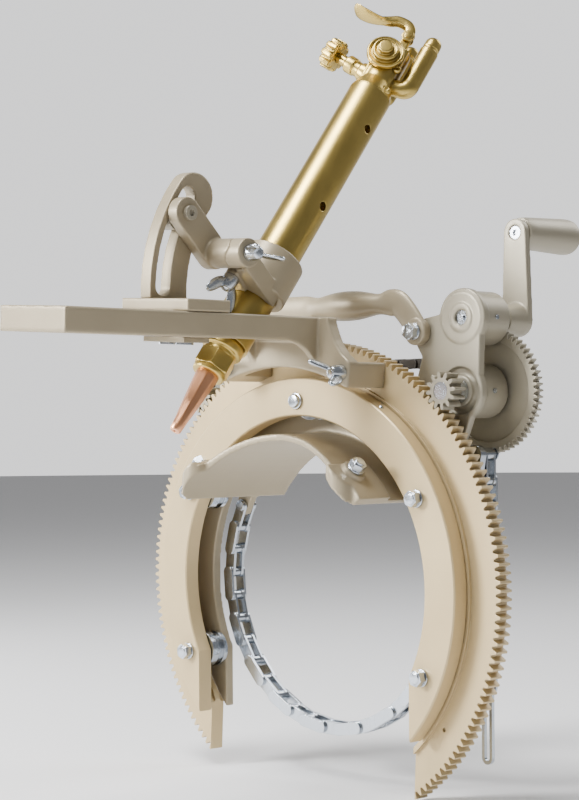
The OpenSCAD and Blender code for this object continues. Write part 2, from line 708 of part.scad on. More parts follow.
module head_body() on_head() {
    cylinder(h = neck_h, r1 = torch_r, r2 = neck_r);
    translate([0, 0, neck_h]) cylinder(h = head_h - neck_h, r = neck_r);
    translate([cap_x, 0, cap_h]) rotate([90, 0, 0]) cylinder(h = neck_r + cut, r = cap_r - cap_step);
    translate([0, head_d / 2, 0]) rotate([90, 0, 0]) linear_extrude(head_d)
        polygon([[cut - neck_r, neck_h / 2], [-head_w / 2, head_h - neck_h], [-head_w / 3, head_h],
            [head_w / 2, head_h], [head_w / 2, neck_h / 2]]);
    translate([0, lever_t / 2, 0]) rotate([90, 0, 0]) linear_extrude(lever_t)
        strap([ear_x, head_h - lever_t], lever_t, [ear_x, ear_h - lever_t], lever_t);
}
module head_cap() color(brass_col) on_head() translate([cap_x, -neck_r - cut, cap_h]) rotate([90, 0, 0]) {
    cylinder(h = cap_rise, r = cap_r);
    cylinder(h = 2 * cap_rise, r = cap_r - cap_step);
    cylinder(h = 3 * cap_rise, r = cap_r - 2 * cap_step);
}
inlet_x = 24;
inlet_r = 7.6;
inlet_top = 72;
inlet_low = 9;
inlet_seat = 4;
inlet_turns = [0, 75];
module gas_inlets() color(brass_col) on_head() for (a = inlet_turns) rotate([0, 0, a]) {
    translate([neck_r - inlet_seat, 0, inlet_low + inlet_r]) rotate([0, 90, 0])
        cylinder(h = inlet_x - neck_r + inlet_seat, r = inlet_r - cut);
    translate([inlet_x, 0, inlet_low + inlet_r]) sphere(inlet_r, $fn = 32);
    translate([inlet_x, 0, inlet_low + inlet_r]) cylinder(h = inlet_top - inlet_low - 3 * inlet_r,
        r = inlet_r);
    translate([inlet_x, 0, inlet_top - 2 * inlet_r]) cylinder(h = inlet_r, r = inlet_r - cut);
    translate([inlet_x, 0, inlet_top - inlet_r]) sphere(inlet_r - cut, $fn = 32);
}
screw_places = [[11.5, 4.5], [10.9, 26]];
screw_r = 2.5;
module head_screws() color(brass_col) on_head() for (p = screw_places)
    translate([p[0], -head_d / 2 + screw_r, p[1]]) rotate([90, 0, 0]) cylinder(h = 2 * screw_r, r = screw_r);
stem_z = 17.5;
stem_a = 15;
stem_turn = -9;
stem_len = 34;
stem_r = 6;
knob_r = 13;
knob_h = 11;
flutes = 10;
module on_stem() on_head() rotate([0, 0, stem_turn]) translate([-neck_r / 2, 0, stem_z])
    rotate([0, -90 + stem_a, 0]) children();
module valve_stem() color(brass_col) on_stem() {
    cylinder(h = stem_len / 2, r = stem_r);
    cylinder(h = stem_len - bore_gap, r = stem_r - cut);
}
module valve_knob() color(brass_col) on_stem() translate([0, 0, stem_len]) difference() {
    union() {
        cylinder(h = knob_h, r = knob_r);
        translate([0, 0, knob_h]) cylinder(h = cut, r1 = knob_r - cut, r2 = knob_r / 2);
    }
    for (k = [0:flutes - 1]) rotate([0, 0, k * 360 / flutes]) translate([knob_r + cut, 0, -cut])
        cylinder(h = knob_h + 3 * cut, r = 2 * cut + bore_gap);
}
spoon_x0 = -48;
spoon_x1 = -22;
spoon_z = 70;
spoon_w = 19;
spoon_t = 3.2;
bend_x = -10;
bend_z = 76;
lever_r = 5;
module cutting_lever() color(brass_col) on_head() {
    for (s = [1, -1]) translate([0, s * (lever_t / 2 + slide_gap) + (s > 0 ? lever_t / 2 : 0), 0])
        rotate([90, 0, 0]) linear_extrude(lever_t / 2) difference() {
            union() {
                strap([ear_x, ear_h - lever_t], lever_r, [bend_x, bend_z], lever_r / 2);
                strap([bend_x, bend_z], lever_r / 2, [spoon_x1, spoon_z], lever_r / 2);
            }
            translate([ear_x, ear_h - lever_t]) circle(lever_t / 2);
        }
    translate([0, 0, spoon_z - spoon_t / 2]) linear_extrude(spoon_t)
        strap([spoon_x1, 0], lever_t + slide_gap, [spoon_x0 + spoon_w / 2, 0], spoon_w / 2);
    translate([ear_x, lever_t + slide_gap, ear_h - lever_t]) rotate([90, 0, 0])
        cylinder(h = 2 * (lever_t + slide_gap), r = lever_t / 2);
}

// Gear housings
ear_c = [93.9, 190.6];
ear_hub_r = 9.6;
ear_low_c = [106, 176];
leg_r = 13;
leg_a = [52, 39];
recess_r = 17.6;
recess_d = 3.5;
hub_ring_r = 11.6;
pad_ring_r = 18.9;
pad_ring_h = 0.8;
barrel_step = 1.6;
barrel_r = lobe_r - barrel_step;
crank_shaft_r = 5.5;
crank_boss_r = 10.3;
handle_bolt_r = 4;
housing_bolt_a = [56, 42];
housing_bolt_r = 4;
leg_mid_r = (guide_in_r + guide_out_r) / 2;
module housing_plan(upper) {
    waist = drive_c + (crank_c - drive_c) / 2;
    translate(drive_c) circle(lobe_r);
    if (upper) {
        translate(crank_c) circle(lobe_r);
        strap(drive_c, lobe_r * 5 / 6, crank_c, lobe_r * 5 / 6);
        strap(ear_c, ear_hub_r, crank_c - [lobe_r / 4, lobe_r / 4], lobe_r / 2);
    }
    strap(ear_c, ear_hub_r, drive_c - [lobe_r / 3, 0], lobe_r / 2);
    strap(ear_c, ear_hub_r, ear_low_c, ear_hub_r);
    strap(ear_low_c, ear_hub_r, polar(leg_mid_r, leg_a[0]), leg_r);
    strap(drive_c, lobe_r, polar(leg_mid_r, leg_a[0]), leg_r);
    strap(drive_c, lobe_r * 4 / 5, polar(leg_mid_r, leg_a[1]), leg_r);
    sector(guide_in_r + cut, guide_out_r, leg_a[1] - cut, leg_a[0] + cut);
}
module housing(upper) difference() {
    union() {
        along_y(housing_y, housing_y + housing_t) housing_plan(upper);
        cyl_y(drive_c, housing_y + cut, barrel_end, barrel_r);
        if (upper) {
            cyl_y(crank_c, housing_y - pad_ring_h, housing_y + cut, pad_ring_r);
            cyl_y(crank_c, housing_y + cut, barrel_end, barrel_r);
            cyl_y(crank_c, housing_y - 2 * pad_ring_h, housing_y + cut, crank_boss_r);
        }
    }
    if (upper) {
        cyl_y(crank_c, 0, barrel_end + cut, crank_shaft_r + bore_gap);
    }
    along_y(housing_y - cut, housing_y + recess_d) difference() {
        translate(drive_c) circle(recess_r);
        translate(drive_c) circle(hub_ring_r);
    }
    cyl_y(drive_c, 0, barrel_end + cut, drive_shaft_r + bore_gap);
    cyl_y(ear_c, 0, far, handle_bolt_r);
    for (a = housing_bolt_a) cyl_y(polar(leg_mid_r, a), 0, far, housing_bolt_r);
}
module housing_right() color(gray_col) housing(true);
module housing_left() color(gray_col) mirror([1, 0, 0]) housing(false);
set_screw_y = 16;
set_screw_r = 1.8;
module housing_bolts() color(zinc_col) {
    for (s = [0, 1]) mirror([s, 0, 0]) for (a = housing_bolt_a) {
        cyl_y(polar(leg_mid_r, a), housing_y, housing_y + housing_t + nut_h, housing_bolt_r);
        cyl_y(polar(leg_mid_r, a), housing_y + housing_t, housing_y + housing_t + nut_h, nut_r, $fn = 6);
    }
    for (c = [drive_c, crank_c]) cyl_x([housing_y + set_screw_y, c[1]], c[0] + barrel_r,
        c[0] + barrel_r + cut, set_screw_r);
}

// Carry handle
bow_t = 8;
bow_y = housing_y - bow_t / 2;
neck_x = 60;
bow_neck_r = 6.4;
bend_c = [76, 214.5];
bend_r = 8;
module carry_handle() color(cast_col) difference() {
    union() {
        translate([0, bow_y, bow_z]) rotate([0, 90, 0]) rotate_extrude($fn = 64)
            polygon(concat([[0, -neck_x]], [for (i = [-6:6]) [bow_neck_r + (bow_r - bow_neck_r)
                * pow(cos(i * 15), 0.6), i * bow_half / 6]], [[0, neck_x]]));
        for (s = [0, 1]) mirror([s, 0, 0]) along_y(housing_y - bow_t, housing_y) {
            strap([bow_half - bow_neck_r, bow_z], bow_neck_r, bend_c, bend_r);
            strap(bend_c, bend_r, ear_c, ear_hub_r - cut);
        }
    }
    for (s = [1, -1]) cyl_y([s * ear_c[0], ear_c[1]], 0, far, handle_bolt_r);
}
module handle_bolts() color(zinc_col) for (s = [1, -1]) {
    cyl_y([s * ear_c[0], ear_c[1]], housing_y - bow_t - washer_t, housing_y + housing_t + nut_h,
        handle_bolt_r);
    cyl_y([s * ear_c[0], ear_c[1]], housing_y - bow_t - washer_t, housing_y - bow_t, washer_r);
    cyl_y([s * ear_c[0], ear_c[1]], housing_y - bow_t - washer_t - nut_h, housing_y - bow_t - washer_t,
        bolt_head_r + cut / 2, $fn = 6);
    cyl_y([s * ear_c[0], ear_c[1]], housing_y + housing_t, housing_y + housing_t + nut_h, nut_r, $fn = 6);
}

// Saddle pad bolts
module pad_bolts() color(zinc_col) for (a = [pad_bolt_a, 180 - pad_bolt_a])
    rotate([0, -a, 0]) translate([seat_out_r, pad_bolt_y, 0]) rotate([0, 90, 0]) {
        cylinder(h = pad_boss_rise - seat_t, r = pad_bolt_r);
        translate([0, 0, pad_boss_rise - seat_t]) cylinder(h = washer_t, r = washer_r);
        translate([0, 0, pad_boss_rise - seat_t + washer_t])
            cylinder(h = nut_h, r = bolt_head_r + cut, $fn = 6);
    }

// Gears, shafts and sprockets
shaft_inset = 0.4;
keep_r = 9;
module pinion(phase) difference() {
    along_y(ring_face + bore_gap, ring_back + bore_gap)
        polygon(gear_points(pinion_teeth, gear_module, phase, 4));
    cyl_y([0, 0], 0, far, drive_shaft_r);
}
module at(c) translate([c[0], 0, c[1]]) children();
module drive_shaft(c) {
    cyl_y(c, ring_face + bore_gap + shaft_inset, chain_y + chain_half_w, drive_shaft_r);
    cyl_y(c, ring_back + bore_gap, housing_y - run_gap, keep_r);
}
module drive_shaft_right() color(zinc_col) drive_shaft(drive_c);
module drive_shaft_left() color(zinc_col) drive_shaft(mirror_x(drive_c));
module drive_pinion_right() color(gray_col) at(drive_c) pinion(pinion_phase_r);
module drive_pinion_left() color(gray_col) at(mirror_x(drive_c)) pinion(pinion_phase_l);
big_web_share = 0.55;
big_hub_r = 13;
big_rim = 5;
module large_gear() color(gray_col) at(drive_c) difference() {
    along_y(big_y, big_y + big_t) polygon(gear_points(big_teeth, crank_module, 0, 1));
    cyl_y([0, 0], 0, far, drive_shaft_r);
    for (y = [big_y - cut, big_y + big_t - big_t * (1 - big_web_share) / 2])
        along_y(y, y + big_t * (1 - big_web_share) / 2 + cut) difference() {
            circle(root_r(big_teeth, crank_module) - big_rim, $fn = 96);
            circle(big_hub_r);
        }
}
sprocket_r = chain_pitch / 2 / sin(180 / sprocket_teeth);
chain_roller_r = chain_pitch / 3;
sprocket_tip_r = sprocket_r + chain_roller_r * 0.8;
sprocket_t = 4;
sprocket_hub_r = 12;
module sprocket(phase) difference() {
    union() {
        along_y(chain_y - sprocket_t / 2, chain_y + sprocket_t / 2) difference() {
            circle(sprocket_tip_r, $fn = 96);
            for (k = [0:sprocket_teeth - 1]) strap(polar(sprocket_r, phase + k * 360 / sprocket_teeth),
                chain_roller_r + run_gap, polar(sprocket_r + 2 * chain_roller_r,
                phase + k * 360 / sprocket_teeth), chain_roller_r * 1.6);
        }
        cyl_y([0, 0], chain_y - chain_half_w, chain_y + chain_half_w, sprocket_hub_r);
    }
    cyl_y([0, 0], 0, far, drive_shaft_r);
}
module sprocket_right() color(dark_col) at(drive_c) sprocket(90);
module sprocket_left() color(dark_col) at(mirror_x(drive_c)) sprocket(90);

// Chains
chain_plate_share = 0.42;
plate_th = 1.25;
inner_gap = 2.7;
// Pins of the drive chain, as a distance along the loop from the top of the right sprocket
strand = 2 * strand_half;
wrap = sprocket_teeth * chain_pitch / 2;
function loop_at(u) =
    u < strand ? [strand_half - u, sprocket_r]
    : u < strand + wrap ? [-strand_half, 0] + polar(sprocket_r, 90 + (u - strand) / wrap * 180)
    : u < 2 * strand + wrap ? [u - strand - wrap - strand_half, -sprocket_r]
    : [strand_half, 0] + polar(sprocket_r, -90 + (u - 2 * strand - wrap) / wrap * 180);
function chain_pin(i) = [0, drive_c[1]] + loop_at((i % chain_links) * chain_pitch);
function clear_of_teeth(p) = min(norm(p - drive_c), norm(p - mirror_x(drive_c)))
    > sprocket_tip_r + chain_roller_r + run_gap;
// Links between the pins p(i) and p(i+1) for every second i
module plate_layer(pins, first, r, y0, y1) along_y(y0, y1)
    for (i = [first:2:len(pins) - 2]) strap(pins[i], r, pins[i + 1], r);
plate_step = 0.25;
module chain_plates(pins, r, gap, t) for (s = [0, 1]) mirror([0, s, 0]) {
    plate_layer(pins, 0, r, gap, gap + t);
    plate_layer(pins, 1, r - plate_step, gap + t, gap + 2 * t);
}
module drive_chain() color(dark_col) translate([0, chain_y, 0]) {
    pins = [for (i = [0:chain_links]) chain_pin(i)];
    chain_plates(pins, chain_pitch * chain_plate_share, inner_gap, plate_th);
    for (i = [0:chain_links - 1]) if (clear_of_teeth(pins[i]))
        cyl_y(pins[i], -inner_gap - 2 * plate_th, inner_gap + 2 * plate_th, chain_roller_r);
}

// The clamp chain, from the left lug to the right lug
clamp_pitch = 19.05;
clamp_half = 5;
clamp_gap = 3.4;
clamp_t = 2.1;
clamp_roller_r = 4.2;
clamp_stand = 3;
clamp_y = housing_y + clamp_stand;
clamp_r = norm([bore_r + clamp_half + run_gap, clamp_pitch / 2]);
clamp_step = 2 * asin(clamp_pitch / 2 / clamp_r);
clamp_count = 25;
clamp_lead_a = 6;
clamp_a0 = 180 - seat_end_a + clamp_lead_a;
module clamp_chain() color(zinc_col) translate([0, clamp_y, 0]) {
    pins = [for (i = [0:clamp_count]) polar(clamp_r, clamp_a0 + i * clamp_step)];
    chain_plates(pins, clamp_half, clamp_gap, clamp_t);
    for (p = pins) cyl_y(p, -clamp_gap - 2 * clamp_t, clamp_gap + 2 * clamp_t, clamp_roller_r);
}

// Lug of the saddle for an end of the clamp chain
lug_r = 7.5;
lug_half_t = clamp_gap - slide_gap;
clamp_a1 = clamp_a0 + clamp_count * clamp_step - 360;
module chain_lug(a, seat_a) difference() {
    along_y(clamp_y - lug_half_t, clamp_y + lug_half_t) difference() {
        strap(polar(clamp_r, a), lug_r, polar(seat_out_r + lug_r / 2, seat_a), lug_r);
        circle(seat_in_r, $fn = 180);
    }
    cyl_y(polar(clamp_r, a), 0, far, clamp_roller_r);
}

// Hook for the free end of the chain, on the rear face of the flange
hook_a = 19;
hook_r = 7;
hook_base = polar(guide_out_r - 3 * hook_r, hook_a);
tail_x = 139.5;
tail_z = 99;
tail_stand = 9;
tail_y = clamp_y + clamp_gap + 2 * clamp_t + tail_stand;
hook_t = 6;
hook_y1 = tail_y - clamp_gap - 2 * clamp_t - run_gap;
peg_r = 3.2;
tail_count = 9;
end_link_len = 52;
end_link_r = 5;
end_link_wire = 2.8;
module chain_hook() color(zinc_col) difference() {
    union() {
        cyl_y(hook_base, housing_y, hook_y1, hook_r);
        along_y(hook_y1 - hook_t, hook_y1) strap(hook_base, hook_r, [tail_x, tail_z], hook_r);
        cyl_y([tail_x, tail_z], hook_y1 - hook_t, tail_y + clamp_gap + 2 * clamp_t + washer_t, peg_r);
        cyl_y([tail_x, tail_z], tail_y + clamp_gap + 2 * clamp_t + run_gap,
            tail_y + clamp_gap + 2 * clamp_t + washer_t, peg_r + washer_t);
    }
    cyl_y(hook_base, housing_y - cut, hook_y1 + cut, hook_r / 2);
}
module tightener_screw() color(zinc_col) {
    cyl_y(hook_base, housing_y, hook_y1, hook_r / 2);
}
module chain_tail() color(zinc_col) translate([tail_x, tail_y, tail_z]) {
    pins = [for (i = [0:tail_count]) [0, -i * clamp_pitch]];
    difference() {
        union() {
            chain_plates(pins, clamp_half, clamp_gap, clamp_t);
            for (i = [1:tail_count]) cyl_y(pins[i], -clamp_gap - 2 * clamp_t, clamp_gap + 2 * clamp_t,
                i < tail_count ? clamp_roller_r : end_link_r / 2);
            cyl_y([0, 0], -clamp_gap - clamp_t, clamp_gap + clamp_t, clamp_half);
            along_y(-end_link_wire / 2, end_link_wire / 2) difference() {
                strap(pins[tail_count], end_link_r, pins[tail_count] - [0, end_link_len], end_link_r);
                strap(pins[tail_count], end_link_r - end_link_wire, pins[tail_count] - [0, end_link_len],
                    end_link_r - end_link_wire);
            }
        }
        cyl_y([0, 0], -far, far, peg_r + bore_gap);
    }
}

// Crank
crank_hub_r = 13;
crank_hub_len = 16;
crank_eye_r = 10.5;
crank_eye = crank_c + [0, crank_throw];
arm_recess_d = 2.4;
grip_head_r = 5;
grip_gap = 0.4;
grip_bolt_r = 4;
grip_small_r = 11.5;
grip_large_r = 14;
grip_bore_len = 52;
mark_r = 2.4;
module crank_shaft() color(zinc_col) {
    cyl_y(crank_c, housing_y + pad_ring_h, crank_y + crank_arm_t, crank_shaft_r);
    cyl_y(crank_c, housing_y - pad_ring_h, housing_y + pad_ring_h, mark_r);
}
module crank_pinion() color(gray_col) at(crank_c) difference() {
    along_y(big_y, big_y + big_t) polygon(gear_points(crank_pinion_teeth, crank_module, crank_phase, 4));
    cyl_y([0, 0], 0, far, crank_shaft_r);
}
module crank_arm() color(gray_col) difference() {
    union() {
        along_y(crank_y, crank_y + crank_arm_t) strap(crank_c, crank_hub_r, crank_eye, crank_eye_r);
        translate([crank_c[0], crank_y, crank_c[1]]) rotate([90, 0, 0])
            cylinder(h = crank_hub_len, r1 = crank_hub_r, r2 = crank_hub_r - 2 * washer_t);
    }
    cyl_y(crank_c, 0, far, crank_shaft_r);
    cyl_y(crank_eye, 0, far, grip_bolt_r);
    cyl_y(crank_eye, 0, crank_y + arm_recess_d, grip_head_r + run_gap);
}
module crank_screw() color(zinc_col) difference() {
    union() {
        cyl_y(crank_eye, crank_y + washer_t / 2, crank_y + crank_arm_t + grip_gap + grip_bore_len - cut,
            grip_bolt_r);
        cyl_y(crank_eye, crank_y + washer_t / 2, crank_y + arm_recess_d, grip_head_r);
    }
    cyl_y(crank_eye, 0, crank_y + arm_recess_d, grip_head_r / 2, $fn = 6);
}
module crank_grip() color(gray_col) at(crank_eye) difference() {
    rotate([-90, 0, 0]) translate([0, 0, crank_y + crank_arm_t + grip_gap]) rotate_extrude($fn = 64)
        polygon(concat([[0, 0], [grip_small_r - cut, 0], [grip_small_r, cut]],
            [for (i = [1:5]) [grip_small_r + (grip_large_r - grip_small_r) * i / 5,
                cut + (grip_len - grip_large_r / 2) * i / 5]],
            [for (i = [1:6]) [grip_large_r * cos(i * 15), grip_len - grip_large_r / 2
                + grip_large_r / 2 * sin(i * 15)]]));
    cyl_y([0, 0], 0, crank_y + crank_arm_t + grip_gap + grip_bore_len, grip_bolt_r + bore_gap);
}

saddle();
guide_ring();
pad_bolts();
roller_bolts();
ring_oiler();
housing_right();
housing_left();
housing_bolts();
carry_handle();
handle_bolts();
drive_chain();
clamp_chain();
chain_hook();
tightener_screw();
chain_tail();
guide_roller_1();
guide_roller_2();
guide_roller_3();
guide_roller_4();
guide_roller_5();
ring_gear();
torch_bracket();
bracket_screw_right();
bracket_screw_left();
carriage_pad();
carriage_plate();
carriage_bolts();
bevel_quadrant();
bevel_arm();
bevel_bolt();
torch_collar();
collar_wing_screw();
boss_wing_screw();
torch_barrel();
torch_ring();
torch_nut();
torch_tip();
torch_head();
gas_inlets();
head_cap();
head_screws();
valve_stem();
valve_knob();
cutting_lever();
drive_shaft_right();
drive_pinion_right();
large_gear();
sprocket_right();
drive_shaft_left();
drive_pinion_left();
sprocket_left();
crank_shaft();
crank_pinion();
crank_arm();
crank_screw();
crank_grip();
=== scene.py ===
"""Dressed model of a hand-cranked beveling machine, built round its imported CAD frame.

Sizes are in millimetres until a mesh is made; a mesh is in metres.  X is to the
right, Y along the ring's axis to the back and Z up.  Each sub-assembly is a class
that works out its surfaces with numpy and gives them their finish.
"""

from __future__ import annotations

import json
import logging
import math
from collections.abc import Sequence
from dataclasses import dataclass
from enum import Enum
from functools import lru_cache

import bmesh
import bpy
import numpy as np
from mathutils import Matrix, Vector

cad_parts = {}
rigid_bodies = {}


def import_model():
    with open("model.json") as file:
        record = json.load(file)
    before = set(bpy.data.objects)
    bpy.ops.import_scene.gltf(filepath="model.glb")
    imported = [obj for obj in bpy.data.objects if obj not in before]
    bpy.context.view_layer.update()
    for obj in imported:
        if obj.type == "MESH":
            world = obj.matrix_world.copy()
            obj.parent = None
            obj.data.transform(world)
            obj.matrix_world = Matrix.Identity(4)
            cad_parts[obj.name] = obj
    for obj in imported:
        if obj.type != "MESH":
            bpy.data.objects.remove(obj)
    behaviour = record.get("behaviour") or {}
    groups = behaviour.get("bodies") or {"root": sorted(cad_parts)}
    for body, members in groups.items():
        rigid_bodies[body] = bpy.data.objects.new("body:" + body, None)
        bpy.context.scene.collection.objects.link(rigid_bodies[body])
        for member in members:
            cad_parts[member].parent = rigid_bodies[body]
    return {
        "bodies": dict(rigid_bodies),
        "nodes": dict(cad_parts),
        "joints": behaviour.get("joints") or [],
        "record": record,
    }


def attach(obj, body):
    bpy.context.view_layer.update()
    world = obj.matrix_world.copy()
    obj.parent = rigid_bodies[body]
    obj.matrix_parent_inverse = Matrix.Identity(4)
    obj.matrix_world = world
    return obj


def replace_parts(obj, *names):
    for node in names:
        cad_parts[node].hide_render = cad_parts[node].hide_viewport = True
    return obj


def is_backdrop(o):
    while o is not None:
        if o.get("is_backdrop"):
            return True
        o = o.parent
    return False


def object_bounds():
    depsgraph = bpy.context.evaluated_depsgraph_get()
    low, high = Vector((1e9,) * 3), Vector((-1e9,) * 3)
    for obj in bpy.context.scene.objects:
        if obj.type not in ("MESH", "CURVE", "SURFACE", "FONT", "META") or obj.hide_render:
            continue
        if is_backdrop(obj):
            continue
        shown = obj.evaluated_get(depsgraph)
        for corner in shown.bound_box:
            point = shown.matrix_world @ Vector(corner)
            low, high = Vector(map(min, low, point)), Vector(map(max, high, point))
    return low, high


log = logging.getLogger("beveling_machine")

MM = 0.001
Array = np.ndarray
Triple = tuple[float, float, float]
Object = bpy.types.Object
Socket = bpy.types.NodeSocket
Tree = bpy.types.NodeTree

RIGHT: Triple = (1.0, 0.0, 0.0)
FRONT: Triple = (0.0, -1.0, 0.0)
BACK: Triple = (0.0, 1.0, 0.0)
UP: Triple = (0.0, 0.0, 1.0)
TINY = 1e-9
MOST_OF_SIDE = 0.49


# Places


@dataclass(frozen=True)
class Place:
    """A frame in space: an origin and three unit directions, in millimetres."""

    origin: Triple = (0.0, 0.0, 0.0)
    x: Triple = RIGHT
    y: Triple = BACK
    z: Triple = UP

    def carry(self, points: Array) -> Array:
        """Origin plus the points' shares of the three directions."""
        return np.asarray(self.origin) + points @ np.array([self.x, self.y, self.z])

    def direction(self, v: Sequence[float]) -> Array:
        """A local direction in the outer frame."""
        return np.asarray(v, float) @ np.array([self.x, self.y, self.z])

    def inside(self, inner: Place) -> Place:
        """A frame given in this one, carried to the outer frame."""
        return Place(
            tuple(self.carry(np.asarray(inner.origin, float))),
            tuple(self.direction(inner.x)),
            tuple(self.direction(inner.y)),
            tuple(self.direction(inner.z)),
        )

    def shifted(self, v: Sequence[float]) -> Place:
        """The same directions with the origin moved by a local vector."""
        return Place(tuple(self.carry(np.asarray(v, float))), self.x, self.y, self.z)


def cos_sin(angle: float) -> tuple[float, float]:
    """The cosine and the sine of an angle in degrees."""
    return math.cos(math.radians(angle)), math.sin(math.radians(angle))


def turn_x(angle: float, origin: Triple) -> Place:
    """A frame at a point, turned about X by an angle in degrees."""
    c, s = cos_sin(angle)
    return Place(origin, y=(0.0, c, -s), z=(0.0, s, c))


def turn_y(angle: float) -> Place:
    """A frame turned about Y by an angle in degrees."""
    c, s = cos_sin(angle)
    return Place(x=(c, 0.0, -s), z=(s, 0.0, c))


def turn_z(angle: float) -> Place:
    """A frame turned about Z by an angle in degrees."""
    c, s = cos_sin(angle)
    return Place(x=(c, s, 0.0), y=(-s, c, 0.0))


def facing(origin: Sequence[float], z: Sequence[float], hint: Sequence[float]) -> Place:
    """A frame at a point whose Z looks along z and whose X is near the hint.

    Args:
        origin: where the frame stands.
        z: the direction of its Z.
        hint: a direction that X lies close to.

    Returns:
        The frame, right-handed.
    """
    n = np.asarray(z, float)
    n = n / np.linalg.norm(n)
    h = np.asarray(hint, float)
    x = h - n * (h @ n)
    x = x / np.linalg.norm(x)
    y = np.cross(n, x)
    return Place(tuple(float(v) for v in origin), tuple(x), tuple(y), tuple(n))


REST_TURN = 3.0
BEVEL = 36.5
HEAD_TURN = 39.0
BARREL_TOP = 325.0
TIP_AT: Triple = (0.0, -129.8, 118.0)
ON_RING = turn_y(REST_TURN)
ON_TORCH = ON_RING.inside(turn_x(BEVEL, TIP_AT))
ON_HEAD = ON_TORCH.inside(turn_z(HEAD_TURN)).shifted((0.0, 0.0, BARREL_TOP))


# Outlines and surfaces


def rounded(
    points: Array, radius: Sequence[float] | float, closed: bool, steps: int = 6
) -> Array:
    """A polyline with its corners turned into arcs.

    Each corner P with neighbours A and B is left by the curve
    (1-t)^2 * P1 + 2t(1-t) * P + t^2 * P2, where P1 and P2 lie the radius away
    from P on its two sides.

    Args:
        points: the corners, one row each.
        radius: how far from each corner the curve starts.
        closed: whether the last corner joins the first.
        steps: points on each curve, less one.

    Returns:
        The points of the rounded line.
    """
    p = np.asarray(points, float)
    r = np.broadcast_to(np.asarray(radius, float), (len(p),))
    before, after = np.roll(p, 1, 0) - p, np.roll(p, -1, 0) - p
    lb, la = np.linalg.norm(before, axis=1), np.linalg.norm(after, axis=1)
    lb, la = np.maximum(lb, TINY), np.maximum(la, TINY)
    cut = np.minimum(r, MOST_OF_SIDE * np.minimum(lb, la))
    p1 = p + before / lb[:, None] * cut[:, None]
    p2 = p + after / la[:, None] * cut[:, None]
    t = np.linspace(0, 1, steps + 1)[None, :, None]
    arcs = (1 - t) ** 2 * p1[:, None] + 2 * t * (1 - t) * p[:, None] + t**2 * p2[:, None]
    if closed:
        return arcs.reshape(-1, p.shape[1])
    return np.vstack([p[:1], arcs[1:-1].reshape(-1, p.shape[1]), p[-1:]])


def around(steps: int) -> Array:
    """The angles of evenly spaced points on a full turn."""
    return np.linspace(0, 2 * math.pi, steps, endpoint=False)


def circle(radius: float, steps: int = 48) -> Array:
    """Points on a circle: radius times (cos a, sin a)."""
    a = around(steps)
    return np.column_stack([np.cos(a), np.sin(a)]) * radius


def inset(outline: Array, depth: float) -> Array:
    """A closed outline moved inwards along its corner normals by a depth."""
    ahead = np.roll(outline, -1, 0) - outline
    back = outline - np.roll(outline, 1, 0)
    ahead /= np.maximum(np.linalg.norm(ahead, axis=1), TINY)[:, None]
    back /= np.maximum(np.linalg.norm(back, axis=1), TINY)[:, None]
    tangent = ahead + back
    tangent /= np.maximum(np.linalg.norm(tangent, axis=1), TINY)[:, None]
    x, y = outline.T
    area = np.sum(x * np.roll(y, -1) - np.roll(x, -1) * y)
    normal = np.column_stack([-tangent[:, 1], tangent[:, 0]]) * math.copysign(1, area)
    return outline + normal * depth


def ring_faces(rows: int, count: int) -> Array:
    """Quads between neighbouring closed rows of a grid of points."""
    i, j = np.meshgrid(np.arange(rows - 1), np.arange(count), indexing="ij")
    k = (j + 1) % count
    low, high = i * count, (i + 1) * count
    return np.stack([low + j, low + k, high + k, high + j], -1).reshape(-1, 4)


@dataclass
class Shell:
    """Points and faces of one closed surface or of several laid together."""

    points: Array
    faces: list[list[int]]

    @classmethod
    def none(cls) -> Shell:
        """A shell with nothing in it, for others to be added to."""
        return cls(np.zeros((0, 3)), [])

    def __add__(self, other: Shell) -> Shell:
        """Both surfaces in one."""
        n = len(self.points)
        return Shell(
            np.vstack([self.points, other.points]),
            self.faces + [[i + n for i in f] for f in other.faces],
        )


def loft(rings: Array) -> Shell:
    """A surface through closed rings, with flat faces at its two ends.

    Args:
        rings: an array of rings x points around x 3.

    Returns:
        The surface.
    """
    rows, count = rings.shape[:2]
    faces = ring_faces(rows, count).tolist()
    faces.append(list(range(count))[::-1])
    faces.append(list(range((rows - 1) * count, rows * count)))
    return Shell(rings.reshape(-1, 3), faces)


def turned_rows(reach: Array, height: Array, a: Array) -> Array:
    """Rings of points (r cos a, r sin a, h), one for each height."""
    return np.stack([reach * np.cos(a), reach * np.sin(a), height[:, None] + 0 * a], -1)


def revolve(profile: Array, place: Place, steps: int = 64) -> Shell:
    """A profile of (radius, height) turned round Z."""
    return loft(place.carry(turned_rows(profile[:, :1], profile[:, 1], around(steps))))


def turned(
    profile: Sequence[Sequence[float]],
    radii: Sequence[float],
    place: Place,
    steps: int,
    arc: int,
) -> Shell:
    """A profile of (radius, height) with rounded corners, turned round Z.

    Args:
        profile: its corners.
        radii: how far from each corner its curve starts.
        place: the frame that it stands in.
        steps: points round Z.
        arc: points on each curve, less one.

    Returns:
        The surface.
    """
    return revolve(rounded(np.array(profile), radii, False, arc), place, steps)


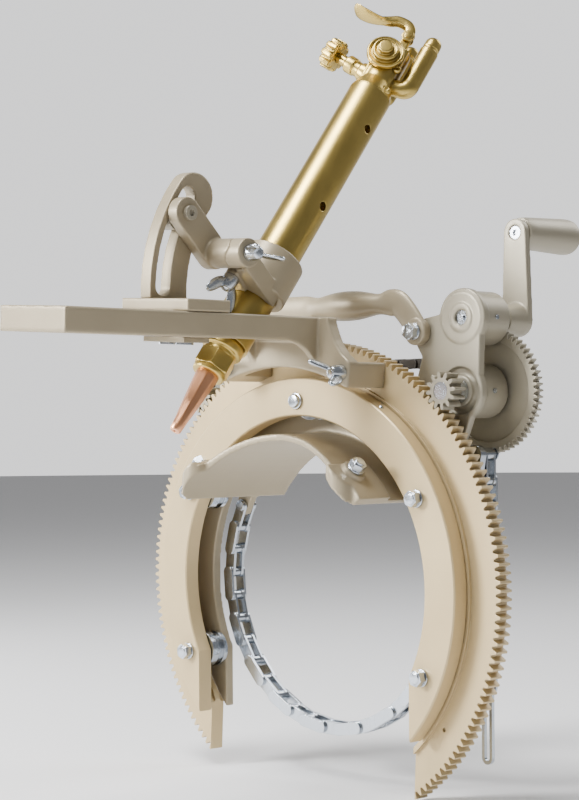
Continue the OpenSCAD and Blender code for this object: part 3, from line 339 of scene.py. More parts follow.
def slab(outline: Array, place: Place, depth: float, edge: float, steps: int = 4) -> Shell:
    """A plate with rounded edges: the outline in X and Y, its depth along Z.

    Each row is the outline moved inwards by edge * (1 - cos b) at a height that
    grows by edge * sin b, with b from a quarter turn to none and back.

    Args:
        outline: its closed outline.
        place: the frame that it lies in.
        depth: its thickness.
        edge: the radius of its edges.
        steps: points on each rounding, less one.

    Returns:
        The plate.
    """
    b = np.linspace(math.pi / 2, 0, steps + 1)
    moved = np.concatenate([edge * (1 - np.cos(b)), edge * (1 - np.cos(b[::-1]))])
    height = np.concatenate([edge * (1 - np.sin(b)), depth - edge * (1 - np.sin(b[::-1]))])
    count = len(outline)
    rows = [
        np.column_stack([inset(outline, m), np.full(count, h)])
        for m, h in zip(moved, height)
    ]
    return loft(place.carry(np.stack(rows)))


def hexagon_share(angle: Array) -> Array:
    """How far a hexagon of corner radius 1 reaches at each angle."""
    sector = math.pi / 3
    return math.cos(sector / 2) / np.cos(np.mod(angle, sector) - sector / 2)


def hex_prism(
    corner: float, z0: float, z1: float, place: Place, chamfer: float, both: bool = True
) -> Shell:
    """A hexagon bar whose corners are turned off by a cone at its ends.

    The reach at a height is the lesser of the hexagon's and the cone's, where
    the cone starts a little past the flats and grows with the distance from the
    end by its slope.

    Args:
        corner: the hexagon's corner radius.
        z0: where the bar starts.
        z1: where it ends.
        place: the frame that it stands in.
        chamfer: how much of each end gets the finer rows.
        both: whether the lower end is turned off too.

    Returns:
        The bar.
    """
    cone_share, cone_slope = 0.9, 1.9
    span = z1 - z0
    rise = np.concatenate([np.linspace(0, chamfer, 5), np.linspace(span - chamfer, span, 5)])
    cone_top = corner * cone_share + cone_slope * (span - rise)
    cone_low = corner * cone_share + cone_slope * rise if both else np.full_like(rise, corner)
    a = around(72)
    cone = np.minimum(cone_top, cone_low)[:, None]
    reach = np.minimum(hexagon_share(a)[None] * corner, cone)
    return loft(place.carry(turned_rows(reach, z0 + rise, a)))


def tube(
    path: Array,
    radius: Array | float,
    steps: int = 32,
    flat: Array | float = 1.0,
    side: Sequence[float] = BACK,
) -> Shell:
    """A round or oval section carried along a path.

    The section at each point is radius * (cos a * across + flat * sin a * side),
    where side stays as near as it can to the given direction.

    Args:
        path: the points of the centre line.
        radius: the section's reach across, at each point.
        steps: points round the section.
        flat: the share of the reach that the section has along side.
        side: the direction that the second axis of the section keeps to.

    Returns:
        The closed surface.
    """
    p = np.asarray(path, float)
    r = np.broadcast_to(np.asarray(radius, float), (len(p),))[:, None, None]
    f = np.broadcast_to(np.asarray(flat, float), (len(p),))[:, None, None]
    t = np.gradient(p, axis=0)
    t /= np.linalg.norm(t, axis=1)[:, None]
    s = np.asarray(side, float)[None] - t * (t @ np.asarray(side, float))[:, None]
    s /= np.linalg.norm(s, axis=1)[:, None]
    across = np.cross(s, t)
    a = around(steps)[None, :, None]
    return loft(p[:, None] + r * (np.cos(a) * across[:, None] + f * np.sin(a) * s[:, None]))


def spline(points: Sequence[Sequence[float]], count: int) -> Array:
    """Points on a smooth curve through the given ones.

    Between two points the curve is the cubic whose slopes are half the
    difference of the neighbours on each side.
    """
    p = np.asarray(points, float)
    ends = np.vstack([2 * p[0] - p[1], p, 2 * p[-1] - p[-2]])
    u = np.linspace(0, len(p) - 1 - TINY, count)
    i = u.astype(int)
    t = (u - i)[:, None]
    a, b, c, d = ends[i], ends[i + 1], ends[i + 2], ends[i + 3]
    square = (2 * a - 5 * b + 4 * c - d) * t**2
    cube = (3 * b - a - 3 * c + d) * t**3
    return 0.5 * (2 * b + (c - a) * t + square + cube)


# Pieces

WELD = 2e-6
CAD_WELD = 1e-6
SLIVER = 1e-7
CAST_ANGLE = 60.0


def add_piece(
    name: str, shell: Shell, body: str, finish: Finish, smooth_angle: float = 38.0
) -> Object:
    """Puts a surface into the scene as a piece that rides on a body.

    Args:
        name: the piece's name.
        shell: its surface, in millimetres.
        body: the body that it moves with.
        finish: what it is made of.
        smooth_angle: edges sharper than this many degrees stay sharp.

    Returns:
        The object, at the origin, with its place in its mesh.
    """
    mesh = bpy.data.meshes.new(name)
    mesh.from_pydata((shell.points * MM).tolist(), [], shell.faces)
    work = bmesh.new()
    work.from_mesh(mesh)
    bmesh.ops.remove_doubles(work, verts=work.verts, dist=WELD)
    bmesh.ops.dissolve_degenerate(work, edges=work.edges, dist=SLIVER)
    bmesh.ops.recalc_face_normals(work, faces=work.faces)
    work.to_mesh(mesh)
    work.free()
    return finish_piece(bpy.data.objects.new(name, mesh), body, finish, smooth_angle)


def finish_piece(piece: Object, body: str, finish: Finish, smooth_angle: float) -> Object:
    """Links a piece, smooths it, gives it its finish and sets it on its body."""
    mesh = piece.data
    mesh.shade_smooth()
    mesh.set_sharp_from_angle(angle=math.radians(smooth_angle))
    mesh.materials.clear()
    mesh.materials.append(finish.material())
    bpy.context.scene.collection.objects.link(piece)
    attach(piece, body)
    log.info("%s on %s: %d faces", piece.name, body, len(mesh.polygons))
    return piece


def softened(
    name: str, node: str, body: str, finish: Finish, voxel: float, passes: int, keep: float
) -> Object:
    """A casting with its edges and inner corners rounded, from the CAD node.

    A merged copy of the node is rebuilt on a fine lattice and smoothed, so each
    edge takes the soft radius of a sand casting, and flat places then lose the
    faces that they don't need.

    Args:
        name: the new piece's name.
        node: the CAD node that it stands for.
        body: the body that it moves with.
        finish: what it is made of.
        voxel: the lattice size in millimetres.
        passes: how often it is smoothed.
        keep: the share of faces that is kept.

    Returns:
        The new piece.
    """
    source = bpy.data.objects[node]
    mesh = source.data.copy()
    work = bmesh.new()
    work.from_mesh(mesh)
    bmesh.ops.remove_doubles(work, verts=work.verts, dist=CAD_WELD)
    work.to_mesh(mesh)
    work.free()
    mesh.name = name
    rough = bpy.data.objects.new(name + "_rough", mesh)
    bpy.context.scene.collection.objects.link(rough)
    lattice = rough.modifiers.new("lattice", "REMESH")
    lattice.mode = "VOXEL"
    lattice.voxel_size = voxel * MM
    relax = rough.modifiers.new("relax", "SMOOTH")
    relax.factor = 0.5
    relax.iterations = passes
    thin = rough.modifiers.new("thin", "DECIMATE")
    thin.ratio = keep
    graph = bpy.context.evaluated_depsgraph_get()
    made = bpy.data.meshes.new_from_object(rough.evaluated_get(graph))
    made.name = name
    bpy.data.objects.remove(rough)
    piece = finish_piece(bpy.data.objects.new(name, made), body, finish, CAST_ANGLE)
    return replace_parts(piece, node)


# Shader groups


def new_group(
    name: str, ins: dict[str, float], outs: dict[str, str]
) -> tuple[Tree, bpy.types.Node, bpy.types.Node]:
    """A shader node group with its named sockets.

    Args:
        name: the group's name.
        ins: each input and its first value.
        outs: each output and its socket type.

    Returns:
        The group, its input node and its output node.
    """
    group = bpy.data.node_groups.new(name, "ShaderNodeTree")
    for label, value in ins.items():
        kind = "NodeSocketVector" if label == "Vector" else "NodeSocketFloat"
        socket = group.interface.new_socket(name=label, in_out="INPUT", socket_type=kind)
        if label != "Vector":
            socket.default_value = value
    for label, kind in outs.items():
        group.interface.new_socket(name=label, in_out="OUTPUT", socket_type=kind)
    return group, group.nodes.new("NodeGroupInput"), group.nodes.new("NodeGroupOutput")


def math_node(
    tree: Tree, operation: str, a: object, b: object = None, clamp: bool = False
) -> Socket:
    """A Math node whose two inputs are sockets or numbers, and its output."""
    node = tree.nodes.new("ShaderNodeMath")
    node.operation = operation
    node.use_clamp = clamp
    for socket, value in zip(node.inputs, (a, b)):
        if isinstance(value, bpy.types.NodeSocket):
            tree.links.new(value, socket)
        elif value is not None:
            socket.default_value = value
    return node.outputs[0]


def noise(
    tree: Tree, vector: Socket, scale: object, detail: float = 4.0, rough: float = 0.55
) -> Socket:
    """A noise texture on a vector, and its value."""
    node = tree.nodes.new("ShaderNodeTexNoise")
    tree.links.new(vector, node.inputs["Vector"])
    if isinstance(scale, bpy.types.NodeSocket):
        tree.links.new(scale, node.inputs["Scale"])
    else:
        node.inputs["Scale"].default_value = scale
    node.inputs["Detail"].default_value = detail
    node.inputs["Roughness"].default_value = rough
    return node.outputs["Fac"]


def colour_mix(tree: Tree, share: Socket, a: object, b: object) -> Socket:
    """A colour mix of two sockets or colours by a share, and its output."""
    node = tree.nodes.new("ShaderNodeMix")
    node.data_type = "RGBA"
    tree.links.new(share, node.inputs[0])
    for index, value in ((6, a), (7, b)):
        if isinstance(value, bpy.types.NodeSocket):
            tree.links.new(value, node.inputs[index])
        else:
            node.inputs[index].default_value = (*value, 1.0)
    return node.outputs[2]


@lru_cache(maxsize=None)
def edge_group() -> Tree:
    """Soft edges: a normal that rounds every edge, and a mask of worn edges.

    The mask is one less the dot of the rounded and the true normal, times a gain.
    """
    group, ins, outs = new_group(
        "soft_edges",
        {"Radius": 0.001, "Gain": 3.0},
        {"Mask": "NodeSocketFloat", "Normal": "NodeSocketVector"},
    )
    soft = group.nodes.new("ShaderNodeBevel")
    soft.samples = 6
    group.links.new(ins.outputs["Radius"], soft.inputs["Radius"])
    true = group.nodes.new("ShaderNodeNewGeometry")
    dot = group.nodes.new("ShaderNodeVectorMath")
    dot.operation = "DOT_PRODUCT"
    group.links.new(soft.outputs[0], dot.inputs[0])
    group.links.new(true.outputs["Normal"], dot.inputs[1])
    turned = math_node(group, "SUBTRACT", 1.0, dot.outputs["Value"])
    mask = math_node(group, "MULTIPLY", turned, ins.outputs["Gain"], True)
    group.links.new(mask, outs.inputs["Mask"])
    group.links.new(soft.outputs[0], outs.inputs["Normal"])
    return group


@lru_cache(maxsize=None)
def grain_group() -> Tree:
    """Sand grain: a fine and a coarse noise as height, and blotches as tone."""
    coarse_share, blotch_share, fine_height = 0.22, 0.035, 0.45
    group, ins, outs = new_group(
        "sand_grain",
        {"Vector": 0.0, "Scale": 600.0},
        {"Height": "NodeSocketFloat", "Tone": "NodeSocketFloat"},
    )
    vector, scale = ins.outputs["Vector"], ins.outputs["Scale"]
    fine = noise(group, vector, scale, 3.0)
    coarse = noise(group, vector, math_node(group, "MULTIPLY", scale, coarse_share), 4.0)
    blotches = math_node(group, "MULTIPLY", scale, blotch_share)
    blotch = noise(group, vector, blotches, 5.0, 0.6)
    height = math_node(group, "ADD", math_node(group, "MULTIPLY", fine, fine_height), coarse)
    group.links.new(height, outs.inputs["Height"])
    group.links.new(blotch, outs.inputs["Tone"])
    return group


@lru_cache(maxsize=None)
def shade_and_dust_group() -> Tree:
    """Painted shade with grime and oil in corners: what the open sky doesn't reach, broken by
    noise.
    """
    patch_scale, patch_floor = 160.0, 0.35
    group, ins, outs = new_group(
        "corner_shade_and_dust", {"Vector": 0.0, "Distance": 0.01}, {"Mask": "NodeSocketFloat"}
    )
    # The occlusion darkens corners and creases: painted shade, broken by noise patches of grime.
    sky = group.nodes.new("ShaderNodeAmbientOcclusion")
    sky.samples = 6
    group.links.new(ins.outputs["Distance"], sky.inputs["Distance"])
    shut = math_node(group, "SUBTRACT", 1.0, sky.outputs["AO"])
    patches = noise(group, ins.outputs["Vector"], patch_scale, 4.0)
    broken = math_node(group, "ADD", patches, patch_floor)
    group.links.new(math_node(group, "MULTIPLY", shut, broken, True), outs.inputs["Mask"])
    return group


@lru_cache(maxsize=None)
def scratch_group() -> Tree:
    """Rubbing marks: noise drawn out some thirty times across one direction."""
    group, ins, outs = new_group(
        "rubbing_marks", {"Vector": 0.0, "Scale": 300.0}, {"Fine": "NodeSocketFloat"}
    )
    stretch = group.nodes.new("ShaderNodeMapping")
    stretch.inputs["Scale"].default_value = (1.0, 0.03, 0.03)
    stretch.inputs["Rotation"].default_value = (0.0, 0.35, 0.9)
    group.links.new(ins.outputs["Vector"], stretch.inputs["Vector"])
    fine = noise(group, stretch.outputs[0], ins.outputs["Scale"], 3.0)
    group.links.new(fine, outs.inputs["Fine"])
    return group


class Surface(Enum):
    """How a finish was made."""

    PAINTED = "painted"
    BARE = "bare"


@dataclass(frozen=True)
class Finish:
    """One material of the machine.

    base and worn are the colours of the skin and of its rubbed edges; the third
    colour is that of its corners, grime and painted shade in one.  Lengths are in metres.
    """

    slot: str
    surface: Surface
    base: Triple
    worn: Triple
    # The colour put into corners by the occlusion mask: grime and painted shade in one.
    dirt_and_shade: Triple
    metallic: float
    roughness: float
    grain: float = 600.0
    grain_height: float = 0.00006
    edge: float = 0.0008
    wear: float = 0.5
    # How strongly corners take that colour: grime and painted shade.
    dust_and_shade: float = 0.5

    def material(self) -> bpy.types.Material:
        """The finish's material, made once."""
        return finish_material(self)


EDGE_GAIN = 4.0
# How far the occlusion reaches when it paints shade and grime into corners.
SHADE_AND_DUST_REACH = 0.012
MARK_SHARE = 0.8
LIGHT_TONE = 1.10
DARK_TONE = 0.88
ROUGH_SWING = 0.16
BUMP = 0.8
BARE_GRAIN = 0.4
WEAR_FLOOR = 0.2


@lru_cache(maxsize=None)
def finish_material(finish: Finish) -> bpy.types.Material:
    """Builds the node tree of a finish.

    Args:
        finish: the finish.

    Returns:
        Its material: blotched base colour, painted shade and grime in corners, worn
        edges, grain as bump over rounded edges, and a roughness that follows the blotches.
    """
    material = bpy.data.materials.new(finish.slot)
    material.use_nodes = True
    tree = material.node_tree
    tree.nodes.clear()
    out = tree.nodes.new("ShaderNodeOutputMaterial")
    shader = tree.nodes.new("ShaderNodeBsdfPrincipled")
    tree.links.new(shader.outputs[0], out.inputs["Surface"])
    place = tree.nodes.new("ShaderNodeTexCoord").outputs["Object"]

    def grouped(group: Tree, **values: float) -> bpy.types.Node:
        """A group placed in the material with its own values."""
        node = tree.nodes.new("ShaderNodeGroup")
        node.node_tree = group
        if "Vector" in node.inputs:
            tree.links.new(place, node.inputs["Vector"])
        for label, value in values.items():
            node.inputs[label].default_value = value
        return node

    edges = grouped(edge_group(), Radius=finish.edge, Gain=EDGE_GAIN)
    grain = grouped(grain_group(), Scale=finish.grain)
    dust_and_shade = grouped(shade_and_dust_group(), Distance=SHADE_AND_DUST_REACH)
    marks = grouped(scratch_group(), Scale=finish.grain * MARK_SHARE)
    tone, fine = grain.outputs["Tone"], marks.outputs["Fine"]
    light = tuple(min(1.0, c * LIGHT_TONE) for c in finish.base)
    dark = tuple(c * DARK_TONE for c in finish.base)
    skin = colour_mix(tree, tone, dark, light)
    # Painted shade: occluded corners are mixed towards the corner colour, with patches of grime.
    shade_and_dust_share = math_node(tree, "MULTIPLY", dust_and_shade.outputs["Mask"], finish.dust_and_shade, True)
    shaded_and_dusty = colour_mix(tree, shade_and_dust_share, skin, finish.dirt_and_shade)
    patchy = math_node(tree, "ADD", tone, WEAR_FLOOR)
    rubbed = math_node(tree, "MULTIPLY", edges.outputs["Mask"], patchy)
    rubbed = math_node(tree, "MULTIPLY", rubbed, finish.wear, True)
    tree.links.new(colour_mix(tree, rubbed, shaded_and_dusty, finish.worn), shader.inputs["Base Color"])
    swing = math_node(tree, "MULTIPLY", math_node(tree, "ADD", tone, fine), ROUGH_SWING)
    rough = math_node(tree, "ADD", swing, finish.roughness - ROUGH_SWING, True)
    tree.links.new(rough, shader.inputs["Roughness"])
    shader.inputs["Metallic"].default_value = finish.metallic
    bump = tree.nodes.new("ShaderNodeBump")
    bump.inputs["Distance"].default_value = finish.grain_height
    bump.inputs["Strength"].default_value = BUMP
    height = grain.outputs["Height"]
    if finish.surface is Surface.BARE:
        height = math_node(tree, "ADD", math_node(tree, "MULTIPLY", height, BARE_GRAIN), fine)
    tree.links.new(height, bump.inputs["Height"])
    tree.links.new(edges.outputs["Normal"], bump.inputs["Normal"])
    tree.links.new(bump.outputs[0], shader.inputs["Normal"])
    return material


# Each finish's corner colour is dark for painted shade as well as for grime.
CASTING = Finish(
    "cast", Surface.PAINTED,
    base=(0.40, 0.335, 0.225), worn=(0.62, 0.55, 0.41), dirt_and_shade=(0.12, 0.10, 0.07),
    metallic=0.30, roughness=0.42, grain=520.0, grain_height=0.00009,
    edge=0.0009, wear=0.6, dust_and_shade=0.55,
)
RING = Finish(
    "ring_paint", Surface.PAINTED,
    base=(0.63, 0.485, 0.26), worn=(0.82, 0.70, 0.46), dirt_and_shade=(0.18, 0.14, 0.085),
    metallic=0.30, roughness=0.40, grain=420.0, grain_height=0.00004,
    edge=0.0006, wear=0.5, dust_and_shade=0.6,
)
GREY = Finish(
    "gray_iron", Surface.PAINTED,
    base=(0.40, 0.36, 0.27), worn=(0.62, 0.575, 0.47), dirt_and_shade=(0.11, 0.10, 0.08),
    metallic=0.35, roughness=0.40, grain=560.0, grain_height=0.00007,
    edge=0.0007, wear=0.6, dust_and_shade=0.55,
)
ZINC = Finish(
    "zinc", Surface.BARE,
    base=(0.60, 0.645, 0.70), worn=(0.85, 0.88, 0.92), dirt_and_shade=(0.10, 0.10, 0.10),
    metallic=1.0, roughness=0.24, grain=900.0, grain_height=0.00002,
    edge=0.0004, wear=0.4, dust_and_shade=0.6,
)
DARK = Finish(
    "dark_steel", Surface.BARE,
    base=(0.055, 0.050, 0.045), worn=(0.36, 0.34, 0.31), dirt_and_shade=(0.02, 0.018, 0.016),
    metallic=0.85, roughness=0.40, grain=800.0, grain_height=0.00003,
    edge=0.0003, wear=0.7, dust_and_shade=0.6,
)
BRASS = Finish(
    "brass", Surface.BARE,
    base=(0.60, 0.44, 0.13), worn=(0.84, 0.69, 0.29), dirt_and_shade=(0.12, 0.075, 0.02),
    metallic=1.0, roughness=0.33, grain=700.0, grain_height=0.00003,
    edge=0.0006, wear=0.6, dust_and_shade=0.7,
)
COPPER = Finish(
    "copper", Surface.BARE,
    base=(0.90, 0.45, 0.25), worn=(0.97, 0.64, 0.45), dirt_and_shade=(0.22, 0.09, 0.05),
    metallic=1.0, roughness=0.34, grain=900.0, grain_height=0.00002,
    edge=0.0004, wear=0.5, dust_and_shade=0.5,
)

FINISH_OF = {f.slot: f for f in (CASTING, RING, GREY, ZINC, DARK, BRASS, COPPER)}


# Fasteners


@dataclass
class HexBolt:
    """A hexagon bolt through plates, with a washer under its head and a nut."""

    corner: float = 6.2
    head: float = 6.0
    washer_r: float = 6.6
    washer_t: float = 1.6
    shank: float = 4.0
    nut: float = 5.0
    nut_extra: float = 0.4
    head_chamfer: float = 1.2
    nut_chamfer: float = 1.0
    root: float = 1.0

    def head_shell(self, place: Place, spin: float = 0.0, nose: float = 0.6) -> Shell:
        """Washer and head standing up from Z 0.

        Args:
            place: the frame of the bolt, Z out of the plate.
            spin: how far the hexagon is turned.
            nose: how far the shank's end shows above the head.

        Returns:
            The shells together.
        """
        low, top = self.washer_t, self.washer_t + self.head
        washer = turned(
            [[0, 0], [self.washer_r, 0], [self.washer_r, low], [0, low]],
            [0, 0.4, 0.4, 0], place, 40, 3,
        )
        spun = place.inside(turn_z(spin))
        both = washer + hex_prism(self.corner, low, top, spun, self.head_chamfer, False)
        if nose <= 0:
            return both
        foot, tip = top - self.root, top + nose
        return both + turned(
            [[0, foot], [self.shank, foot], [self.shank, tip], [0, tip]],
            [0, 0.3, 0.5, 0], place, 32, 3,
        )

    def nut_shell(self, place: Place, reach: float, spin: float = 0.0) -> Shell:
        """Nut and shank end standing up from Z 0, reaching out by reach."""
        corner, spun = self.corner + self.nut_extra, place.inside(turn_z(spin))
        body = hex_prism(corner, 0.0, self.nut, spun, self.nut_chamfer, False)
        foot = -self.root
        return body + turned(
            [[0, foot], [self.shank, foot], [self.shank, reach], [0, reach]],
            [0, 0.3, 0.6, 0], place, 32, 3,
        )

    def stem_shell(self, place: Place, z0: float, z1: float) -> Shell:
        """The plain shank between two heights."""
        profile = np.array([[0, z0], [self.shank, z0], [self.shank, z1], [0, z1]])
        return revolve(profile, place, 24)


@dataclass
class WingScrew:
    """A screw with two raised wings on a round hub.

    The shares place the wing's start and bend on its length and on the hub's
    height, and swell is the share of a half wave that its width follows.
    """

    shank_r: float = 4.0
    hub_r: float = 6.3
    hub_h: float = 11.0
    wing_len: float = 14.5
    wing_top: float = 23.0
    wing_root: float = 3.2
    wing_tip: float = 4.6
    wing_t: float = 3.2
    wing_steps: int = 22
    start_x: float = 0.6
    start_share: float = 0.42
    bend_shares: tuple[float, float] = (0.62, 0.75)
    tip_back: float = 0.4
    swell: float = 0.62
    closing: int = 6
    least_share: float = 0.0004

    def shell(self, place: Place, shank: float) -> Shell:
        """The whole screw, head up from Z 0 and shank below.

        The hub is a turned profile.  Each wing is a tongue whose outline runs
        from the hub to a round tip, thickest along its middle.

        Args:
            place: the frame of the screw.
            shank: how far the shank reaches down.

        Returns:
            The shells together.
        """
        r, h = self.hub_r, self.hub_h
        hub = turned(
            [[0, -shank], [self.shank_r, -shank], [self.shank_r, 0.0], [r, 0.0],
             [r - 0.4, h * 0.5], [r - 1.8, h], [0, h + 0.6]],
            [0, 0.6, 0.1, 0.5, 2.0, 1.6, 0], place, 40, 4,
        )
        return hub + self.wing(place, 1.0) + self.wing(place, -1.0)

    def wing(self, place: Place, side: float) -> Shell:
        """One wing, as a section carried along a rising curve.

        The centre line runs from the hub outwards and up; the section is an
        oval that widens to the tip's radius and closes at the tip.
        """
        w = np.linspace(0, 1, self.wing_steps)
        u = w[:, None]
        start = np.array([self.start_x, self.hub_h * self.start_share])
        bend = np.array([self.wing_len, self.hub_h]) * self.bend_shares
        tip = np.array([self.wing_len - self.tip_back, self.wing_top])
        line = (1 - u) ** 2 * start + 2 * u * (1 - u) * bend + u**2 * tip
        path = np.column_stack([line[:, 0] * side, 0 * w, line[:, 1]])
        grown = (self.wing_tip - self.wing_root) * np.sin(w * math.pi * self.swell)
        closed = np.sqrt(np.clip(1 - w**self.closing, self.least_share, 1))
        width = (self.wing_root + grown) * closed
        thick = np.minimum(self.wing_t / 2 / width, 1.0)
        return tube(place.carry(path), width, 28, thick, place.direction(BACK))


# Sub-assemblies


@dataclass
class Torch:
    """The cutting torch: tip, nut, collar, head, valve, gas inlets and lever."""

    tip_len: float = 50.6
    jet_circle: float = 2.5
    jet_r: float = 0.5
    octagon_share: float = 1.03
    octagon_limit: float = 1.015
    octagon_from: float = 8.0
    octagon_over: float = 8.0
    octagon_to: float = 50.2
    octagon_fade: float = 2.0
    round_r: float = 4.0
    nut_len: float = 18.4
    nut_corner: float = 14.6
    nut_r: float = 13.0
    bead_r: float = 15.8
    collar_len: float = 10.5
    cap_at: Triple = (-2.8, -14.5, 33.0)
    cap_r: float = 14.8
    cap_h: float = 10.5
    screws_at: tuple[Triple, ...] = ((11.5, -9.6, 4.5), (10.9, -9.6, 26.0))
    stem_rise: float = 15.0
    stem_turn: float = -9.0
    stem_foot: tuple[float, float] = (-6.75, 17.5)
    stem_len: float = 34.0
    knob_r: float = 13.0
    knob_h: float = 11.0
    teeth: int = 10
    flute: float = 2.1
    flute_slope: float = 9.0
    flute_level: float = 0.25
    inlet_turns: tuple[float, ...] = (0.0, 75.0)
    inlet_x: float = 24.0
    inlet_top: float = 72.0
    inlet_bend: float = 8.6
    pivot: tuple[float, float] = (3.0, 64.0)
    cheek_y: float = 3.2
    eye_y: float = 2.3
    eye_r: float = 5.0
    eye_t: float = 1.9

    def build(self) -> None:
        """Makes every piece of the torch."""
        self.tip()
        self.nut()
        self.head()
        self.inlets()
        self.valve()
        self.lever()

    def tip(self) -> None:
        """The copper tip: an eight-sided taper with a round nose and its bores.

        The reach is the taper's radius times a mix of a circle and an octagon,
        by a share that grows from none at the nose to one at a third of the length.
        """
        end = self.tip_len
        s = np.array(
            [9.0, 9.0, 0.9, 0.0, 0.0, 0.9, 6.0, 12.0, 16.0, 24.0, 36.0, 46.0, 49.4, end, end]
        )
        r = np.array(
            [0.0, 1.2, 1.2, 1.6, 3.6, 4.3, 4.7, 5.1, 5.6, 6.4, 7.5, 8.4, 8.8, 8.6, 0.0]
        )
        a = around(96)
        eighth = math.pi / 4
        flat = math.cos(eighth / 2) / np.cos(np.mod(a, eighth) - eighth / 2)
        octagon = np.minimum(flat * self.octagon_share, self.octagon_limit)
        grown = np.clip((s - self.octagon_from) / self.octagon_over, 0, 1)
        faded = np.clip((self.octagon_to - s) / self.octagon_fade, 0, 1)
        share = np.where(r > self.round_r, grown * faded, 0)[:, None]
        reach = r[:, None] * (1 - share + share * octagon[None])
        shell = loft(ON_TORCH.carry(turned_rows(reach, s, a)))
        jet = np.array([[0, -0.05], [self.jet_r, -0.05], [self.jet_r, 0.5], [0, 0.5]])
        for x, y in circle(self.jet_circle, 6):
            shell = shell + revolve(jet, ON_TORCH.shifted((x, y, 0.0)), 12)
        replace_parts(add_piece("copper_tip", shell, "torch", COPPER), "torch_tip")

    def nut(self) -> None:
        """The hexagon union nut and the beaded collar above it."""
        low, top = self.tip_len, self.tip_len + self.nut_len
        foot = turned(
            [[0, low], [12.4, low], [self.nut_r, low + 3.6], [11.6, low + 4.6], [0, low + 4.6]],
            [0, 1.4, 1.2, 0.4, 0], ON_TORCH, 64, 5,
        )
        spun = ON_TORCH.inside(turn_z(12))
        shell = foot + hex_prism(self.nut_corner, low + 4.2, low + self.nut_len - 0.6, spun, 1.8)
        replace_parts(add_piece("union_nut", shell, "torch", BRASS), "torch_nut")
        end = top + self.collar_len
        bead = turned(
            [[0, top - 0.8], [self.nut_r, top - 0.8], [self.nut_r, top + 2.2],
             [self.bead_r, top + 3.2], [self.bead_r, top + 8.6], [14.6, end], [0, end]],
            [0, 0.4, 0.8, 2.2, 2.2, 0.4, 0], ON_TORCH, 64, 6,
        )
        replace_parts(add_piece("beaded_collar", bead, "torch", BRASS), "torch_ring")

    def head(self) -> None:
        """The forged head, its cap with stepped rings, and the two screws."""
        softened("forged_head", "torch_head", "torch", BRASS, voxel=0.6, passes=12, keep=0.5)
        cap = turned(
            [[0, -1.0], [self.cap_r, -1.0], [self.cap_r, 2.6], [13.6, 3.6], [11.6, 2.4],
             [10.3, 2.6], [10.2, 6.6], [8.8, 7.2], [7.4, 6.2], [5.9, 6.4], [5.8, 9.8],
             [4.8, self.cap_h], [0, self.cap_h]],
            [0, 0.6, 1.0, 1.0, 0.8, 0.5, 1.0, 0.9, 0.7, 0.5, 0.8, 0.5, 0],
            ON_HEAD.inside(facing(self.cap_at, FRONT, RIGHT)), 72, 5,
        )
        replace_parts(add_piece("head_cap_turned", cap, "torch", BRASS), "head_cap")
        screws = Shell.none()
        for at in self.screws_at:
            screws = screws + turned(
                [[0, -0.5], [3.4, -0.5], [3.4, 1.2], [2.2, 2.6], [1.5, 2.6], [1.4, 1.6], [0, 1.6]],
                [0, 0.2, 0.9, 0.8, 0.2, 0.2, 0],
                ON_HEAD.inside(facing(at, FRONT, RIGHT)), 32, 4,
            )
        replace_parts(add_piece("packing_screws", screws, "torch", BRASS), "head_screws")

    def inlets(self) -> None:
        """Gas inlets: an elbow out of the neck, a straight tube up and a nose.

        The centre line is a rounded corner; the radius swells at the elbow and
        steps in at the nose.
        """
        out, top = self.inlet_x, self.inlet_top
        corners = np.array([[9.0, 0, 16.0], [out, 0, 16.8], [out, 0, top - 13.0]])
        path = rounded(corners, self.inlet_bend, False, 14)
        swell = [0, 0.35, 0.6, 1], [6.6, 7.4, 7.8, 7.6]
        radius = np.interp(np.linspace(0, 1, len(path)), *swell)
        shell = Shell.none()
        for turn in self.inlet_turns:
            frame = ON_HEAD.inside(turn_z(turn))
            nose = turned(
                [[0, top - 15.2], [7.6, top - 15.2], [7.6, top - 12.8], [6.2, top - 11.8],
                 [6.2, top - 10.6], [6.9, top - 9.8], [6.7, top - 3.2], [4.6, top - 0.4],
                 [0, top]],
                [0, 0.2, 0.8, 0.6, 0.5, 0.6, 2.4, 2.2, 0],
                frame.shifted((out, 0, 0)), 48, 5,
            )
            shell = shell + tube(frame.carry(path), radius, 40) + nose
        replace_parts(add_piece("gas_elbows", shell, "torch", BRASS), "gas_inlets")

    def stem_place(self) -> Place:
        """The frame of the valve stem: Z out along it."""
        c, s = cos_sin(self.stem_rise)
        x, z = self.stem_foot
        aimed = facing((x, 0.0, z), (-c, 0.0, s), BACK)
        return ON_HEAD.inside(turn_z(self.stem_turn)).inside(aimed)

